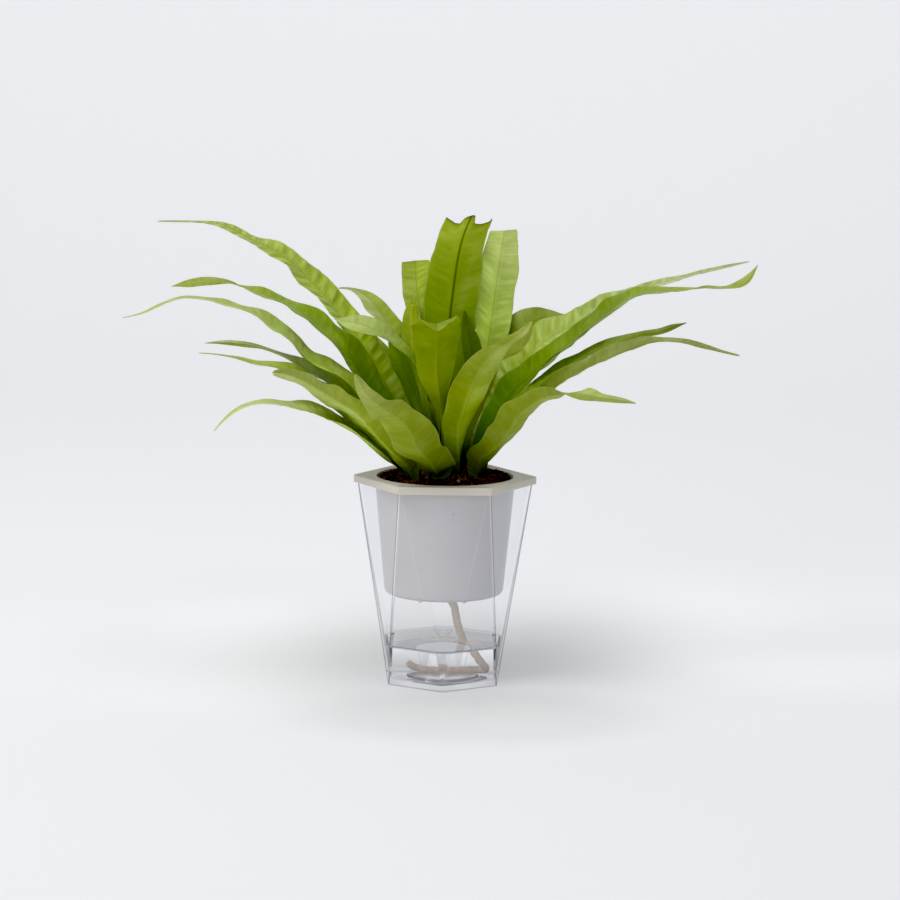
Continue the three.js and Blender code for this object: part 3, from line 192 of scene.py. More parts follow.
# ---------------------------------------------------------------- frond table
# name: (azimuth in degrees, [(x, y, z, half width, roll in degrees, depth of the groove), ...] from crown to tip)
FRONDS = {
    "frond_back_1": (130, [
        (-8.4, 20, 125, 2.2, 1, 1.1),
        (-9.8, 22.7, 130.2, 2.9, 3, 1.5),
        (-10.8, 26.5, 138.1, 4.4, 12, 2.3),
        (-12, 31.4, 148.1, 6.6, 21, 2.8),
        (-14.3, 33.6, 158.3, 8.4, 25, 2.8),
        (-17.6, 35.4, 168.4, 10, 29, 2.6),
        (-20.7, 37.1, 178.5, 11.2, 30, 2.4),
        (-23.8, 39.5, 188.4, 11.6, 27, 2),
        (-28.1, 43, 197.8, 10.9, 18, 1.6),
        (-34.4, 48.2, 205.6, 9.6, 2, 1.3),
        (-41.5, 55.3, 213, 8.6, -4, 1),
        (-48.9, 63.3, 219.9, 5.6, -7, 0.6),
        (-56.5, 72.1, 222.8, 2.9, -8, 0.3),
        (-65.6, 82.8, 222.8, 1, -27, 0.1),
    ]),
    "frond_back_2": (92, [
        (0.4, 19.8, 127.1, 2.7, -1, 1.3),
        (0.9, 25.1, 128.9, 3.2, -5, 1.8),
        (1.1, 31.9, 134.4, 3.8, -9, 2),
        (1.8, 41.5, 141.4, 4.4, -13, 1.8),
        (1.5, 51.7, 148.3, 6.1, -13, 2.1),
        (1.1, 62.5, 155.1, 8, -12, 2.1),
        (0.6, 73.2, 162.1, 9.8, -11, 2.1),
        (0, 83.7, 169.3, 11.3, -10, 1.9),
        (-0.6, 93.6, 176.6, 12.8, -10, 1.9),
        (-1.4, 101.8, 184.3, 13.4, -10, 1.8),
        (-2.4, 107.3, 189.7, 10.2, 2, 1.2),
        (-2.5, 110.2, 182.5, 5.9, 17, 0.7),
        (-2.6, 112.3, 175.8, 3.4, 25, 0.4),
        (-2.7, 114.1, 169, 1.4, 50, 0.1),
    ]),
    "frond_back_3": (52, [
        (17, 16.8, 126.5, 2.9, -114, 1.4),
        (18.6, 21.2, 129.2, 4.1, -95, 2.2),
        (20.7, 27, 136.6, 5.9, -82, 3.1),
        (24.1, 34.2, 145.5, 7.8, -75, 3.3),
        (29.7, 41.8, 153.6, 9.2, -74, 3.1),
        (35.6, 50.6, 161.4, 10, -78, 2.6),
        (41.9, 59.7, 169, 10.5, -80, 2.2),
        (49.2, 68.3, 176, 10.4, -78, 1.8),
        (57.2, 76.5, 182.5, 9.8, -73, 1.4),
        (66.2, 84.3, 187.9, 8.9, -67, 1.2),
        (75.2, 91.8, 193.5, 8.1, -67, 1),
        (84.1, 99.3, 199.5, 6.6, -69, 0.7),
        (90.9, 105.1, 204.6, 4.2, -74, 0.4),
        (97.6, 110.9, 210, 1.2, -79, 0.1),
    ]),
    "frond_back_4": (138, [
        (-21.2, 26, 121.5, 2.7, 82, 1.4),
        (-20.2, 28.3, 126.6, 3.5, 56, 1.9),
        (-19, 30.7, 133, 5.5, 33, 2.9),
        (-21.5, 35.1, 140.1, 8.3, 15, 3.5),
        (-26.9, 41.4, 146.7, 9.3, 14, 3.1),
        (-32.4, 49.4, 153.1, 9.9, 12, 2.6),
        (-38, 58.3, 159.5, 10, 10, 2.1),
        (-43.3, 67.2, 166.2, 9.7, 9, 1.7),
        (-48.6, 76.3, 173, 9.4, 7, 1.4),
        (-54.6, 85, 179.5, 9, 2, 1.2),
        (-60.8, 92.9, 185.9, 8.5, -2, 1),
        (-67.8, 100.2, 191.7, 6.9, -5, 0.8),
        (-73.7, 105.6, 196.1, 4.6, -9, 0.5),
        (-78.7, 110.7, 201.2, 1.5, -16, 0.1),
    ]),
    "frond_back_5": (72, [
        (7, 20.6, 126.4, 2.2, 6, 1.1),
        (8.1, 25, 127.2, 2.6, 8, 1.4),
        (9.6, 30.9, 131.2, 3.1, 6, 1.6),
        (11.8, 40.3, 137.2, 3.5, 4, 1.4),
        (14.6, 50.4, 142.9, 4.3, 7, 1.3),
        (18.3, 62.7, 149.4, 5.5, 12, 1.2),
        (22, 76, 155.9, 6.8, 17, 1.1),
        (25.8, 89.4, 162.6, 7.9, 20, 1.1),
        (29.9, 101.9, 169.3, 7.7, 24, 0.9),
        (31.4, 111.4, 169, 2.9, 23, 0.3),
        (30.8, 116, 160.8, 1.3, 47, 0.1),
    ]),
    "frond_back_6": (112, [
        (-13, 23, 125.5, 2.2, -11, 1.1),
        (-11.3, 27.1, 126.4, 2.6, -20, 1.4),
        (-9, 32.8, 130.4, 3.3, -26, 1.8),
        (-5.6, 42.2, 136.3, 3.9, -29, 1.6),
        (-5.4, 52.2, 142.5, 3.6, -39, 1.1),
        (-8.7, 64.3, 149.7, 4.7, -41, 1),
        (-13.5, 76.3, 156.5, 5.8, -41, 1),
        (-18.7, 88.3, 163.2, 6.6, -41, 0.9),
        (-23.8, 100.7, 170, 6.8, -38, 0.8),
        (-26.2, 110.8, 170.9, 2.7, 22, 0.3),
        (-25.4, 115.3, 162.3, 1.2, 76, 0.1),
    ]),
    "frond_back_7": (90, [
        (3, 16.6, 126.2, 2.5, 0, 1.2),
        (2.4, 19.8, 131.1, 3, -5, 1.7),
        (1.7, 23.9, 139.5, 3.8, -10, 2),
        (1.5, 29.8, 149.9, 5.1, -12, 2.1),
        (2, 36.7, 160.2, 6.5, -12, 2.2),
        (2.4, 44.8, 170.5, 7.8, -10, 2.1),
        (2.7, 53.9, 180.8, 8.8, -10, 1.9),
        (3, 63.4, 191.1, 9.7, -8, 1.7),
        (3.5, 73.4, 201.6, 10.4, -7, 1.5),
        (4.1, 83.9, 212.1, 10.8, -6, 1.4),
        (4.7, 95.1, 222.7, 11, -5, 1.3),
        (5.5, 107.3, 233.4, 10.4, -4, 1.2),
        (5.9, 115, 240.5, 6.7, 0, 0.7),
        (6.1, 119.3, 234.5, 1.6, 31, 0.2),
    ]),
    "frond_back_8": (134, [
        (-16.1, 19.7, 123.8, 2.7, 92, 1.4),
        (-15.5, 23.1, 128.9, 3.6, 70, 1.9),
        (-14.6, 26.9, 136.2, 5.3, 51, 2.8),
        (-14, 32.4, 145.1, 7.6, 32, 3.2),
        (-17.9, 38.8, 152.8, 9.3, 16, 3.1),
        (-23.5, 46.3, 160.3, 10, 13, 2.6),
        (-29, 54.6, 167.9, 10.1, 11, 2.1),
        (-34.5, 63.3, 175.6, 10.1, 8, 1.7),
        (-40.2, 72.7, 183.1, 9.7, 7, 1.4),
        (-46.2, 82, 190.6, 9.1, 5, 1.2),
        (-52.5, 90.6, 198, 8.4, 4, 1),
        (-59.4, 98.7, 205.2, 6.8, 1, 0.8),
        (-65, 104.9, 210.8, 4.6, -5, 0.5),
        (-70.2, 110.8, 216.8, 1.5, -13, 0.1),
    ]),
    "frond_back_9": (104, [
        (-3.4, 24.1, 126.2, 2.2, 1, 1.1),
        (-4.2, 27.9, 125.3, 2.5, -1, 1.4),
        (-5.7, 33.9, 127.3, 2.7, -3, 1.4),
        (-7.5, 43.6, 130.5, 3.7, -7, 1.5),
        (-9.5, 54.2, 133.5, 4.7, -10, 1.4),
        (-12.4, 67, 136.8, 5.6, -11, 1.2),
        (-15.6, 80.2, 140, 6.5, -12, 1.1),
        (-18.8, 93, 143.3, 7.1, -10, 1),
        (-19.6, 103.4, 144.2, 4, 12, 0.5),
        (-17.9, 111, 138, 2.4, 45, 0.3),
        (-16.6, 116.1, 132.4, 1.5, 59, 0.2),
    ]),
    "frond_back_10": (76, [
        (14, 21.2, 125.9, 2.2, -1, 1.1),
        (12.9, 26.1, 125, 2.5, 4, 1.4),
        (11.4, 32.7, 126.9, 2.8, 5, 1.5),
        (11.7, 42.9, 129.7, 4.1, 7, 1.7),
        (13.9, 53.5, 132.6, 5.3, 9, 1.6),
        (16.5, 66, 136, 6.6, 12, 1.5),
        (19.2, 78.7, 139.5, 7.7, 14, 1.3),
        (21.6, 91.2, 143.3, 7.9, 15, 1.1),
        (23.2, 101.6, 145.4, 4.7, 12, 0.6),
        (22.9, 109.3, 139.8, 2.3, 22, 0.2),
        (23.1, 114.4, 134.1, 1.2, 44, 0.1),
    ]),
    "frond_centre_1": (84, [
        (-2, 5.6, 127.1, 4.9, -6, 2.4),
        (-0.6, 7.8, 133.1, 5.1, -6, 2.7),
        (1.2, 10.9, 142.4, 5.3, -7, 2.8),
        (1.8, 15.4, 154, 7.2, -5, 3),
        (1.8, 20, 165.6, 9.8, -3, 3.3),
        (1.7, 24.9, 177.3, 12, -2, 3.1),
        (1.5, 29.9, 189, 13.8, -2, 2.9),
        (1.4, 34.9, 200.9, 15.1, -2, 2.6),
        (1.5, 40, 212.9, 15.9, -2, 2.3),
        (2.8, 45.7, 224.8, 16.4, -2, 2.2),
        (4.3, 52.2, 236.8, 16, -3, 1.9),
        (6.3, 59.3, 248.6, 15, -4, 1.7),
        (8.9, 65.8, 257.9, 14.4, -5, 1.5),
        (12.8, 72.9, 266.8, 14.2, -6, 1.4),
    ]),
    "frond_centre_2": (66, [
        (5, 13.6, 126.6, 4.1, 53, 2.1),
        (6.4, 15.4, 131.8, 4.5, 57, 2.4),
        (8.2, 18.1, 141.1, 5, 61, 2.6),
        (11.5, 21.8, 152.2, 6, 63, 2.5),
        (15.6, 26, 163.2, 7.2, 62, 2.4),
        (19.7, 30.2, 174.2, 7.9, 61, 2.1),
        (23.5, 34.7, 185.3, 8.5, 59, 1.8),
        (25.7, 39.7, 196.6, 9.9, 53, 1.7),
        (27.2, 45.6, 208.1, 11.4, 47, 1.7),
        (28.6, 52.7, 219.7, 12, 45, 1.6),
        (30.1, 60.6, 231.3, 12.1, 44, 1.5),
        (31.9, 68.8, 242.9, 11.8, 44, 1.3),
        (33.2, 75.4, 252.1, 10.4, 46, 1.1),
        (34.3, 81.6, 258.6, 8.7, 46, 0.8),
    ]),
    "frond_centre_3": (106, [
        (-4, 12.2, 126.4, 3.6, -31, 1.8),
        (-4.4, 14.5, 131.1, 3.7, -35, 2),
        (-5, 17.5, 138.7, 3.9, -40, 2.1),
        (-5.7, 21.1, 148.3, 4.1, -45, 1.7),
        (-7.1, 25.2, 157.7, 5, -44, 1.7),
        (-8.7, 29.8, 167, 6, -41, 1.6),
        (-10.5, 35.2, 176.3, 6.7, -39, 1.4),
        (-12.4, 41.3, 185.6, 7, -36, 1.2),
        (-14.3, 48.3, 194.9, 7.3, -34, 1.1),
        (-15.7, 56.3, 204.2, 7.6, -31, 1),
        (-17, 65.1, 213.6, 8, -29, 1),
        (-18.7, 74, 222.9, 8.7, -27, 1),
        (-19.6, 81.4, 230.6, 8.8, -26, 0.9),
        (-19.9, 89.1, 238.3, 8.6, -26, 0.7),
    ]),
    "frond_centre_4": (112, [
        (-6, 10.4, 126.2, 2.4, -45, 1.2),
        (-6.6, 12, 130.2, 2.7, -52, 1.5),
        (-7.4, 14.1, 136.6, 3.1, -58, 1.6),
        (-8.7, 16.7, 146.4, 3.6, -63, 1.5),
        (-11.3, 19.4, 155.9, 4.2, -63, 1.3),
        (-14.2, 23, 166.9, 5, -58, 1.1),
        (-17.1, 27.6, 177.9, 5.9, -51, 1),
        (-19.5, 33.5, 188.9, 6.2, -44, 0.8),
        (-21, 41.9, 199.9, 6.2, -38, 0.8),
        (-21.4, 50.6, 211, 4.9, -36, 0.5),
        (-21.6, 57.2, 220, 1.4, -62, 0.1),
    ]),
    "frond_front_1": (238, [
        (-5, -19, 125.6, 5.9, -154, 2.9),
        (-5, -23.2, 127.1, 4.5, -106, 2.5),
        (-4.9, -27.7, 129.1, 6.3, 10, 3.4),
        (-5.4, -33.8, 133.4, 9.3, 12, 4.3),
        (-8.8, -40.3, 138.6, 10.6, 18, 4.1),
        (-13, -47.3, 142.9, 11.9, 25, 3.8),
        (-16.4, -54.4, 147.9, 13, 28, 3.4),
        (-18.7, -61.4, 154, 12.8, 27, 2.8),
        (-21.3, -68.2, 159.7, 12.5, 28, 2.3),
        (-25.3, -75, 164.1, 11.8, 27, 1.9),
        (-29.3, -81.7, 168, 10.2, 23, 1.5),
        (-33.9, -88.5, 171.4, 9.6, 24, 1.3),
        (-38.1, -95.1, 175.1, 7.9, 21, 1),
        (-41.8, -101.6, 179.3, 5.9, 13, 0.7),
        (-44.6, -107.7, 184.3, 4.2, 11, 0.5),
        (-46.4, -112.2, 188.3, 2.8, 12, 0.3),
        (-48.2, -116.7, 192.1, 1.1, 8, 0.1),
    ]),
    "frond_front_2": (268, [
        (1, -8.3, 126.1, 4.6, -10, 2.3),
        (0.9, -8.2, 131.1, 3.9, -8, 2.1),
        (0.8, -8.4, 136.4, 3.2, -4, 1.8),
        (0, -9.2, 143.5, 2.5, 3, 1.2),
        (-1.2, -10.5, 150.6, 2.2, 11, 0.9),
        (-2.6, -12.5, 157.7, 2.3, 18, 0.7),
        (-3.5, -15.1, 164.7, 3.8, 16, 1),
        (-4.5, -17.8, 171.5, 6.1, 14, 1.3),
        (-5.5, -18.8, 178.1, 8.5, 11, 1.6),
        (-6.2, -18.6, 184.7, 10.4, 9, 1.7),
        (-6.1, -18.9, 191.5, 11.6, 9, 1.7),
        (-6, -20.6, 198.5, 12.8, 10, 1.7),
        (-6, -25.6, 205.8, 13.7, 10, 1.7),
        (-6.3, -40.4, 214, 13.9, 9, 1.6),
        (-6, -63.9, 217.3, 9.5, 3, 1),
        (-5.6, -81.3, 216.2, 5.2, -2, 0.5),
        (-5.5, -97.8, 214.7, 1.4, -10, 0.1),
    ]),
    "frond_front_3": (308, [
        (6, -20, 125.3, 4.3, 6, 2.2),
        (5.6, -21.3, 130.2, 4.4, 12, 2.4),
        (5.1, -23.6, 137.5, 5.2, 8, 2.7),
        (5.1, -26.9, 146.5, 6.9, -3, 2.9),
        (6.1, -30.8, 155.4, 9, -13, 3),
        (8.7, -35.6, 164.2, 9.9, -16, 2.6),
        (11.4, -41.4, 173.1, 10.5, -18, 2.2),
        (14.9, -48, 181.7, 10.7, -21, 1.8),
        (18.8, -56, 190.1, 10.1, -22, 1.5),
        (23.5, -64.9, 197.6, 8.2, -18, 1.1),
        (29.3, -74.2, 204.1, 6.5, -10, 0.8),
        (35.9, -84, 209.8, 5.4, -7, 0.6),
        (41, -92.2, 214.4, 3.6, -3, 0.4),
        (45, -100.5, 220.1, 1.1, -5, 0.1),
    ]),
    "frond_front_4": (318, [
        (9, -11.9, 125.7, 3, -6, 1.5),
        (9.6, -12.7, 129.9, 3.3, 2, 1.8),
        (10.4, -14.1, 136.6, 3.8, 9, 2),
        (11.7, -16.4, 144.8, 4.4, 12, 1.8),
        (14.3, -19, 152.8, 5, 10, 1.7),
        (17.1, -22, 160.7, 5.5, 8, 1.4),
        (20.2, -25.3, 168.4, 5.6, 9, 1.2),
        (23.2, -29.2, 176.3, 5.5, 11, 0.9),
        (25.9, -34, 184.3, 5.3, 16, 0.8),
        (29, -39.5, 191.9, 5, 12, 0.7),
        (34.8, -45.2, 197.2, 5.4, -13, 0.7),
        (40, -51, 203.4, 5, -16, 0.6),
        (43.8, -55.8, 208.6, 3.6, -17, 0.4),
        (46.6, -60.7, 214.1, 1.2, -6, 0.1),
    ]),
    "frond_front_5": (-38, [
        (17, -19.9, 123.9, 3.7, -3, 1.8),
        (17.8, -20.2, 130.3, 4.5, -28, 2.4),
        (19.4, -20.8, 135.7, 6.3, -34, 3.4),
        (25, -24.1, 141.6, 7.7, -24, 3.5),
        (30.2, -27.4, 147.8, 9.7, -24, 3.8),
        (34.3, -30.4, 154.4, 11.5, -15, 3.7),
        (37.9, -33.1, 161.3, 12.2, -10, 3.2),
        (43.6, -37.2, 167.1, 12.7, -13, 2.8),
        (49.9, -41.8, 172.1, 12.7, -16, 2.4),
        (56.8, -47.1, 175.5, 11.7, -15, 1.9),
        (64, -52.8, 177.3, 10.1, -10, 1.4),
        (71.1, -58.3, 177.8, 8, 4, 1.1),
        (78.3, -63.9, 177.1, 6, 20, 0.7),
        (85.4, -69.4, 176, 4, 27, 0.5),
        (92.7, -75.1, 175.7, 2.6, 35, 0.3),
        (98.1, -79.3, 175.4, 1.7, 39, 0.2),
        (103.3, -83.5, 174.9, 0.7, 24, 0.1),
    ]),
    "frond_inner_1": (150, [
        (-8, 0.1, 126.4, 3.6, 2, 1.8),
        (-7.7, 0.2, 129.8, 3.7, 24, 2),
        (-7.4, 1.4, 134.9, 5, 47, 2.6),
        (-7.4, 3.8, 142.5, 7.7, 63, 3.1),
        (-10.3, 8.1, 149.7, 10.1, 62, 3.1),
        (-14, 13.6, 158.1, 12.2, 61, 2.7),
        (-17.9, 18.3, 166.5, 13, 57, 2.1),
        (-22.1, 19, 175.3, 12.4, 58, 1.7),
        (-25.9, 18.5, 184.4, 10.3, 65, 1.3),
        (-30.2, 18.8, 192.9, 6.1, 72, 0.7),
        (-33.4, 20, 200, 1.4, 86, 0.1),
    ]),
    "frond_inner_2": (60, [
        (3, 0.8, 126.7, 2, 29, 1),
        (3.8, 2.1, 130.7, 2.2, 38, 1.2),
        (4.8, 3.9, 136.6, 2.6, 46, 1.4),
        (6.3, 6.6, 145.4, 3.1, 53, 1.3),
        (8.3, 9.7, 154, 3.9, 54, 1.2),
        (10.9, 13.7, 164, 4.7, 53, 1),
        (13.9, 18, 173.9, 5.4, 49, 0.9),
        (15.7, 22.2, 184.1, 5.9, 47, 0.8),
        (14.4, 26.1, 194.4, 5.9, 46, 0.7),
        (12, 29.8, 204.4, 4.1, 50, 0.4),
        (10.4, 33.2, 212.9, 1.6, 74, 0.2),
    ]),
    "frond_left_1": (152, [
        (-14, 13.9, 124.9, 3.7, -1, 1.9),
        (-15.4, 15.8, 135.6, 4.3, -21, 2.4),
        (-18.6, 18.8, 146, 5.8, -31, 3.2),
        (-26.2, 25.1, 158.7, 7.7, -20, 3.6),
        (-33.7, 31.5, 171.6, 9.8, -10, 3.8),
        (-41.3, 36.3, 184.6, 11.9, -6, 3.8),
        (-49.7, 40.3, 197.4, 13.5, -3, 3.6),
        (-59.4, 44.1, 209.1, 14.4, -2, 3.2),
        (-69.8, 47, 220.4, 14.5, -1, 2.7),
        (-81, 50.6, 231, 14, -4, 2.2),
        (-92.6, 55.1, 241.2, 11.8, -6, 1.7),
        (-106.2, 61.2, 248.8, 9, -11, 1.2),
        (-121.1, 68.5, 254.2, 6.1, -9, 0.8),
        (-135.7, 76, 260.5, 4, -14, 0.5),
        (-152, 84.5, 261.8, 2.4, -12, 0.3),
        (-164.6, 91.1, 261.6, 1.5, -18, 0.2),
        (-177.3, 97.9, 261.1, 0.8, -25, 0.1),
    ]),
    "frond_left_2": (152, [
        (-8, -9.2, 126, 3.5, 1, 1.8),
        (-7.7, -9.4, 132.6, 3.8, 12, 2.1),
        (-7.5, -9.7, 140.6, 5, 24, 2.7),
        (-7.3, -10.1, 150.5, 7.1, 31, 3),
        (-8.7, -9.3, 160.2, 9.3, 26, 3.1),
        (-11.5, -6.7, 169.4, 11.1, 29, 2.9),
        (-14.6, -4.3, 178.6, 12.4, 30, 2.6),
        (-18.6, -2.1, 187.5, 12.8, 27, 2.2),
        (-24.9, 1.8, 194.3, 12.4, 14, 1.8),
        (-32.6, 6.5, 200.2, 11.6, 3, 1.5),
        (-41, 11.6, 204.8, 9.7, -15, 1.2),
        (-50.5, 17.1, 207.4, 7.1, -33, 0.8),
        (-58.4, 21.5, 208.2, 4.4, -42, 0.5),
        (-65.9, 25.5, 209.1, 1.1, -8, 0.1),
    ]),
    "frond_left_3": (166, [
        (-17, 6.1, 125.4, 3.9, -1, 2),
        (-19.4, 7.9, 133.7, 4.8, -31, 2.6),
        (-23, 9.6, 142.4, 6.1, -35, 3.3),
        (-29.6, 10.9, 153.7, 8.2, -18, 3.8),
        (-36.6, 12.2, 164.7, 10.5, -9, 4.1),
        (-44, 13.8, 175.4, 12.7, -9, 4.1),
        (-51.1, 13.6, 186.4, 14.6, -10, 3.8),
        (-59.6, 12.8, 196.4, 15.7, -8, 3.5),
        (-69.2, 13.6, 205, 15.8, -3, 2.9),
        (-79.6, 16.6, 212.8, 15.1, -2, 2.4),
        (-91.5, 20.4, 218.4, 13, -1, 1.9),
        (-103.9, 24.3, 222.9, 10, -3, 1.3),
        (-116.6, 28.1, 226.7, 6.9, -2, 0.9),
        (-129.4, 31.6, 229.8, 4.2, 20, 0.5),
        (-142.7, 35.2, 229.6, 2.9, 64, 0.3),
        (-152.8, 37.8, 227.9, 2.3, 82, 0.2),
        (-162.6, 40.2, 226, 0.5, 37, 0.1),
    ]),
    "frond_left_4": (183, [
        (-16, -1, 126.2, 3.3, 0, 1.7),
        (-21.2, -1.2, 134.2, 4.4, -49, 2.4),
        (-27.4, -2.1, 143.1, 5.2, -45, 2.8),
        (-35.8, -5.2, 155.1, 7.1, -31, 3.3),
        (-44.6, -8.6, 166.6, 9.2, -21, 3.5),
        (-54.4, -9.9, 177, 11.1, -14, 3.5),
        (-65.7, -8.1, 185.1, 12.7, -9, 3.3),
        (-78.6, -6.1, 190.6, 13.6, -6, 3),
        (-88.1, -4.7, 200.8, 13.9, -9, 2.6),
        (-99.5, -3.9, 209, 13.3, -8, 2.1),
        (-111.7, -3.8, 215.9, 11.5, -6, 1.6),
        (-125.2, -4, 219.8, 8.8, -5, 1.2),
        (-138.9, -4.6, 222.8, 6.1, -1, 0.8),
        (-152.8, -5.2, 223.2, 4, -6, 0.5),
        (-166, -5.9, 218.4, 2.6, -13, 0.3),
        (-175.5, -6.4, 213.9, 1.6, -16, 0.2),
        (-185.8, -6.9, 211.2, 0.8, -16, 0.1),
    ]),
    "frond_left_5": (186, [
        (-21, -0.3, 124.8, 2.9, 0, 1.5),
        (-22.7, -0.1, 130.9, 3.8, -51, 2),
        (-28.9, -0, 138.4, 4.9, -43, 2.6),
        (-37.4, 3.6, 147.1, 7, -30, 2.9),
        (-45.9, 7.4, 155.8, 9, -23, 3),
        (-54.6, 8.7, 164.6, 10.8, -21, 2.8),
        (-63.8, 7.5, 173, 11.7, -20, 2.5),
        (-74, 5, 180, 11.6, -14, 2),
        (-84.9, 0.7, 185.6, 10.2, -8, 1.5),
        (-95.6, -3.3, 191.3, 7.4, -4, 1),
        (-107.1, -6.5, 195.2, 4.6, -6, 0.6),
        (-119, -9.1, 197.3, 2.8, -25, 0.3),
        (-128.6, -10.6, 198, 1.6, -44, 0.2),
        (-138.1, -11.8, 197.6, 0.5, -22, 0),
    ]),
    "frond_left_6": (192, [
        (-20, -7, 125.5, 2.8, 0, 1.4),
        (-24.2, -8.3, 130.6, 3.3, -43, 1.8),
        (-31.3, -9.4, 137.2, 4.4, -49, 2.3),
        (-40.5, -9.2, 145.1, 6.4, -40, 2.7),
        (-48.9, -9.3, 153.8, 8.3, -29, 2.8),
        (-57.4, -11, 162.5, 9.8, -22, 2.6),
        (-66.7, -15.1, 170.5, 10.6, -20, 2.2),
        (-76.7, -19.6, 177.3, 10.5, -16, 1.8),
        (-86.9, -21.7, 183.4, 9.3, -19, 1.4),
        (-98.2, -23.2, 186.9, 6.7, -15, 0.9),
        (-109.8, -24.7, 188.6, 4.2, -9, 0.5),
        (-121.3, -26.4, 191.4, 2.4, -9, 0.3),
        (-130.5, -28, 192.9, 1.4, -11, 0.2),
        (-139.8, -29.9, 193.7, 0.6, -16, 0.1),
    ]),
    "frond_left_7": (206, [
        (-16.9, -24.2, 122.7, 3.1, 2, 1.6),
        (-19.6, -25.3, 129.3, 4, 44, 2.2),
        (-23.9, -26.8, 134.5, 5.1, 47, 2.7),
        (-29.8, -28.8, 141, 6.8, 26, 2.8),
        (-35.5, -31.5, 147.7, 8.6, 18, 2.9),
        (-41.4, -34.3, 154.2, 10.3, 16, 2.7),
        (-47.4, -37.9, 160.5, 11.4, 22, 2.4),
        (-53.8, -42.1, 166.1, 12, 26, 2.1),
        (-61.1, -44.5, 170.5, 11.7, 21, 1.7),
        (-68.3, -45.6, 174.8, 10.8, 18, 1.4),
        (-75.6, -47.1, 179.2, 9.3, 23, 1.1),
        (-83.1, -49.2, 182.7, 6.7, 34, 0.8),
        (-89.4, -51.5, 184.7, 4.1, 51, 0.4),
        (-95.6, -54.3, 185.7, 1.6, 79, 0.2),
    ]),
    "frond_left_8": (200, [
        (-20.9, -19.2, 124, 1.8, -1, 0.9),
        (-22.9, -18.8, 128.1, 2.3, -23, 1.3),
        (-25.6, -18.4, 131.7, 3.5, -41, 1.9),
        (-30.9, -20.5, 136.6, 5.5, -39, 2.2),
        (-36.3, -23.8, 141.5, 7.3, -34, 2.2),
        (-42.3, -25.5, 147.4, 8.8, -31, 1.9),
        (-48.3, -25, 153, 9.4, -30, 1.6),
        (-54.6, -24.4, 158.3, 9, -26, 1.2),
        (-61.1, -27.1, 163.5, 7.4, -28, 0.9),
        (-68, -31.4, 168, 4.4, -34, 0.5),
        (-74.3, -34, 170.8, 1.1, -46, 0.1),
    ]),
    "frond_left_9": (202, [
        (-22.9, -13.6, 123.8, 2.1, 0, 1.1),
        (-25.9, -15.8, 129, 2.8, -42, 1.5),
        (-32.6, -19, 134.7, 4.2, -24, 2.2),
        (-40.5, -21.1, 142.4, 6.6, -22, 2.8),
        (-48.4, -25.6, 150, 8.5, -21, 2.9),
        (-57.6, -30.5, 155.7, 10.1, -18, 2.7),
        (-67.2, -31.5, 160.3, 10.9, -14, 2.3),
        (-77.2, -33, 164, 10.9, -12, 1.9),
        (-87.6, -35.6, 165.9, 9.5, -10, 1.4),
        (-97.9, -38.8, 167.4, 7, -7, 0.9),
        (-108.1, -42.6, 167.3, 4.4, -3, 0.5),
        (-117.6, -46.3, 163.8, 2.7, -6, 0.3),
        (-123.9, -48.8, 158.8, 1.7, -9, 0.2),
        (-129.4, -51, 152.7, 0.7, -7, 0.1),
    ]),
    "frond_right_1": (13, [
        (17, -2.2, 125.8, 4.1, 0, 2),
        (18.3, -0.5, 136.1, 4.7, 24, 2.5),
        (21.9, 1.6, 146.2, 6, 33, 3.3),
        (28.5, 4.2, 159.1, 8.2, 29, 3.8),
        (36.3, 6.2, 171.4, 10.8, 24, 4.2),
        (46.6, 5, 181.9, 12.7, 11, 4.1),
        (57.4, 4.2, 192, 14.5, 3, 3.8),
        (69, 6.2, 200.7, 15.6, 0, 3.4),
        (80.6, 8.7, 209.4, 15.9, 0, 3),
        (92.2, 11.8, 218.3, 15.2, 1, 2.4),
        (104.8, 15.4, 226, 13.1, 3, 1.9),
        (119.3, 19.7, 229.3, 10, 8, 1.3),
        (134.4, 24.3, 229.3, 6.8, 3, 0.8),
        (149.6, 29, 230.4, 4.4, -8, 0.5),
        (164.9, 33.4, 230.4, 2.7, -33, 0.3),
        (175.3, 36.2, 233.7, 2.4, -84, 0.3),
        (182.3, 38, 242.1, 0.7, -58, 0.1),
    ]),
    "frond_right_2": (16, [
        (15, 5.7, 126, 3.9, 0, 1.9),
        (16.3, 8.3, 135.5, 4.5, 16, 2.4),
        (18.3, 11.9, 145.8, 5.8, 23, 3.1),
        (23.9, 17.6, 158.8, 7.7, 13, 3.5),
        (30.6, 22.8, 171.3, 9.9, 10, 3.8),
        (38.8, 26.5, 183.1, 12, 13, 3.8),
        (49.1, 28.4, 193.4, 13.7, 17, 3.6),
        (60.6, 29.6, 202.4, 15.1, 22, 3.3),
        (73.5, 31.2, 209, 14.8, 13, 2.7),
        (85.8, 32.8, 217, 14.2, 8, 2.3),
        (98.8, 35, 223.6, 12.1, 5, 1.7),
        (112.8, 37.7, 228.6, 9.3, 6, 1.2),
        (127.2, 40.6, 232.2, 6.4, 7, 0.8),
        (141.7, 43.6, 236, 4.2, 10, 0.5),
        (156.4, 46.9, 239.4, 2.7, 17, 0.3),
        (167.5, 49.6, 241.8, 1.7, 23, 0.2),
        (178.7, 52.6, 244, 0.8, 25, 0.1),
    ]),
    "frond_right_3": (-4, [
        (20.9, -7.6, 124.5, 3.4, 0, 1.7),
        (22.5, -8.7, 133, 3.8, 26, 2),
        (24.4, -10, 140.5, 5, 42, 2.7),
        (29.8, -11.4, 149.5, 6.6, 32, 3),
        (35.6, -13.5, 158.2, 8.5, 23, 3.3),
        (42.1, -15.7, 166.5, 10.2, 15, 3.3),
        (48.9, -16.4, 174.2, 11.7, 11, 3.1),
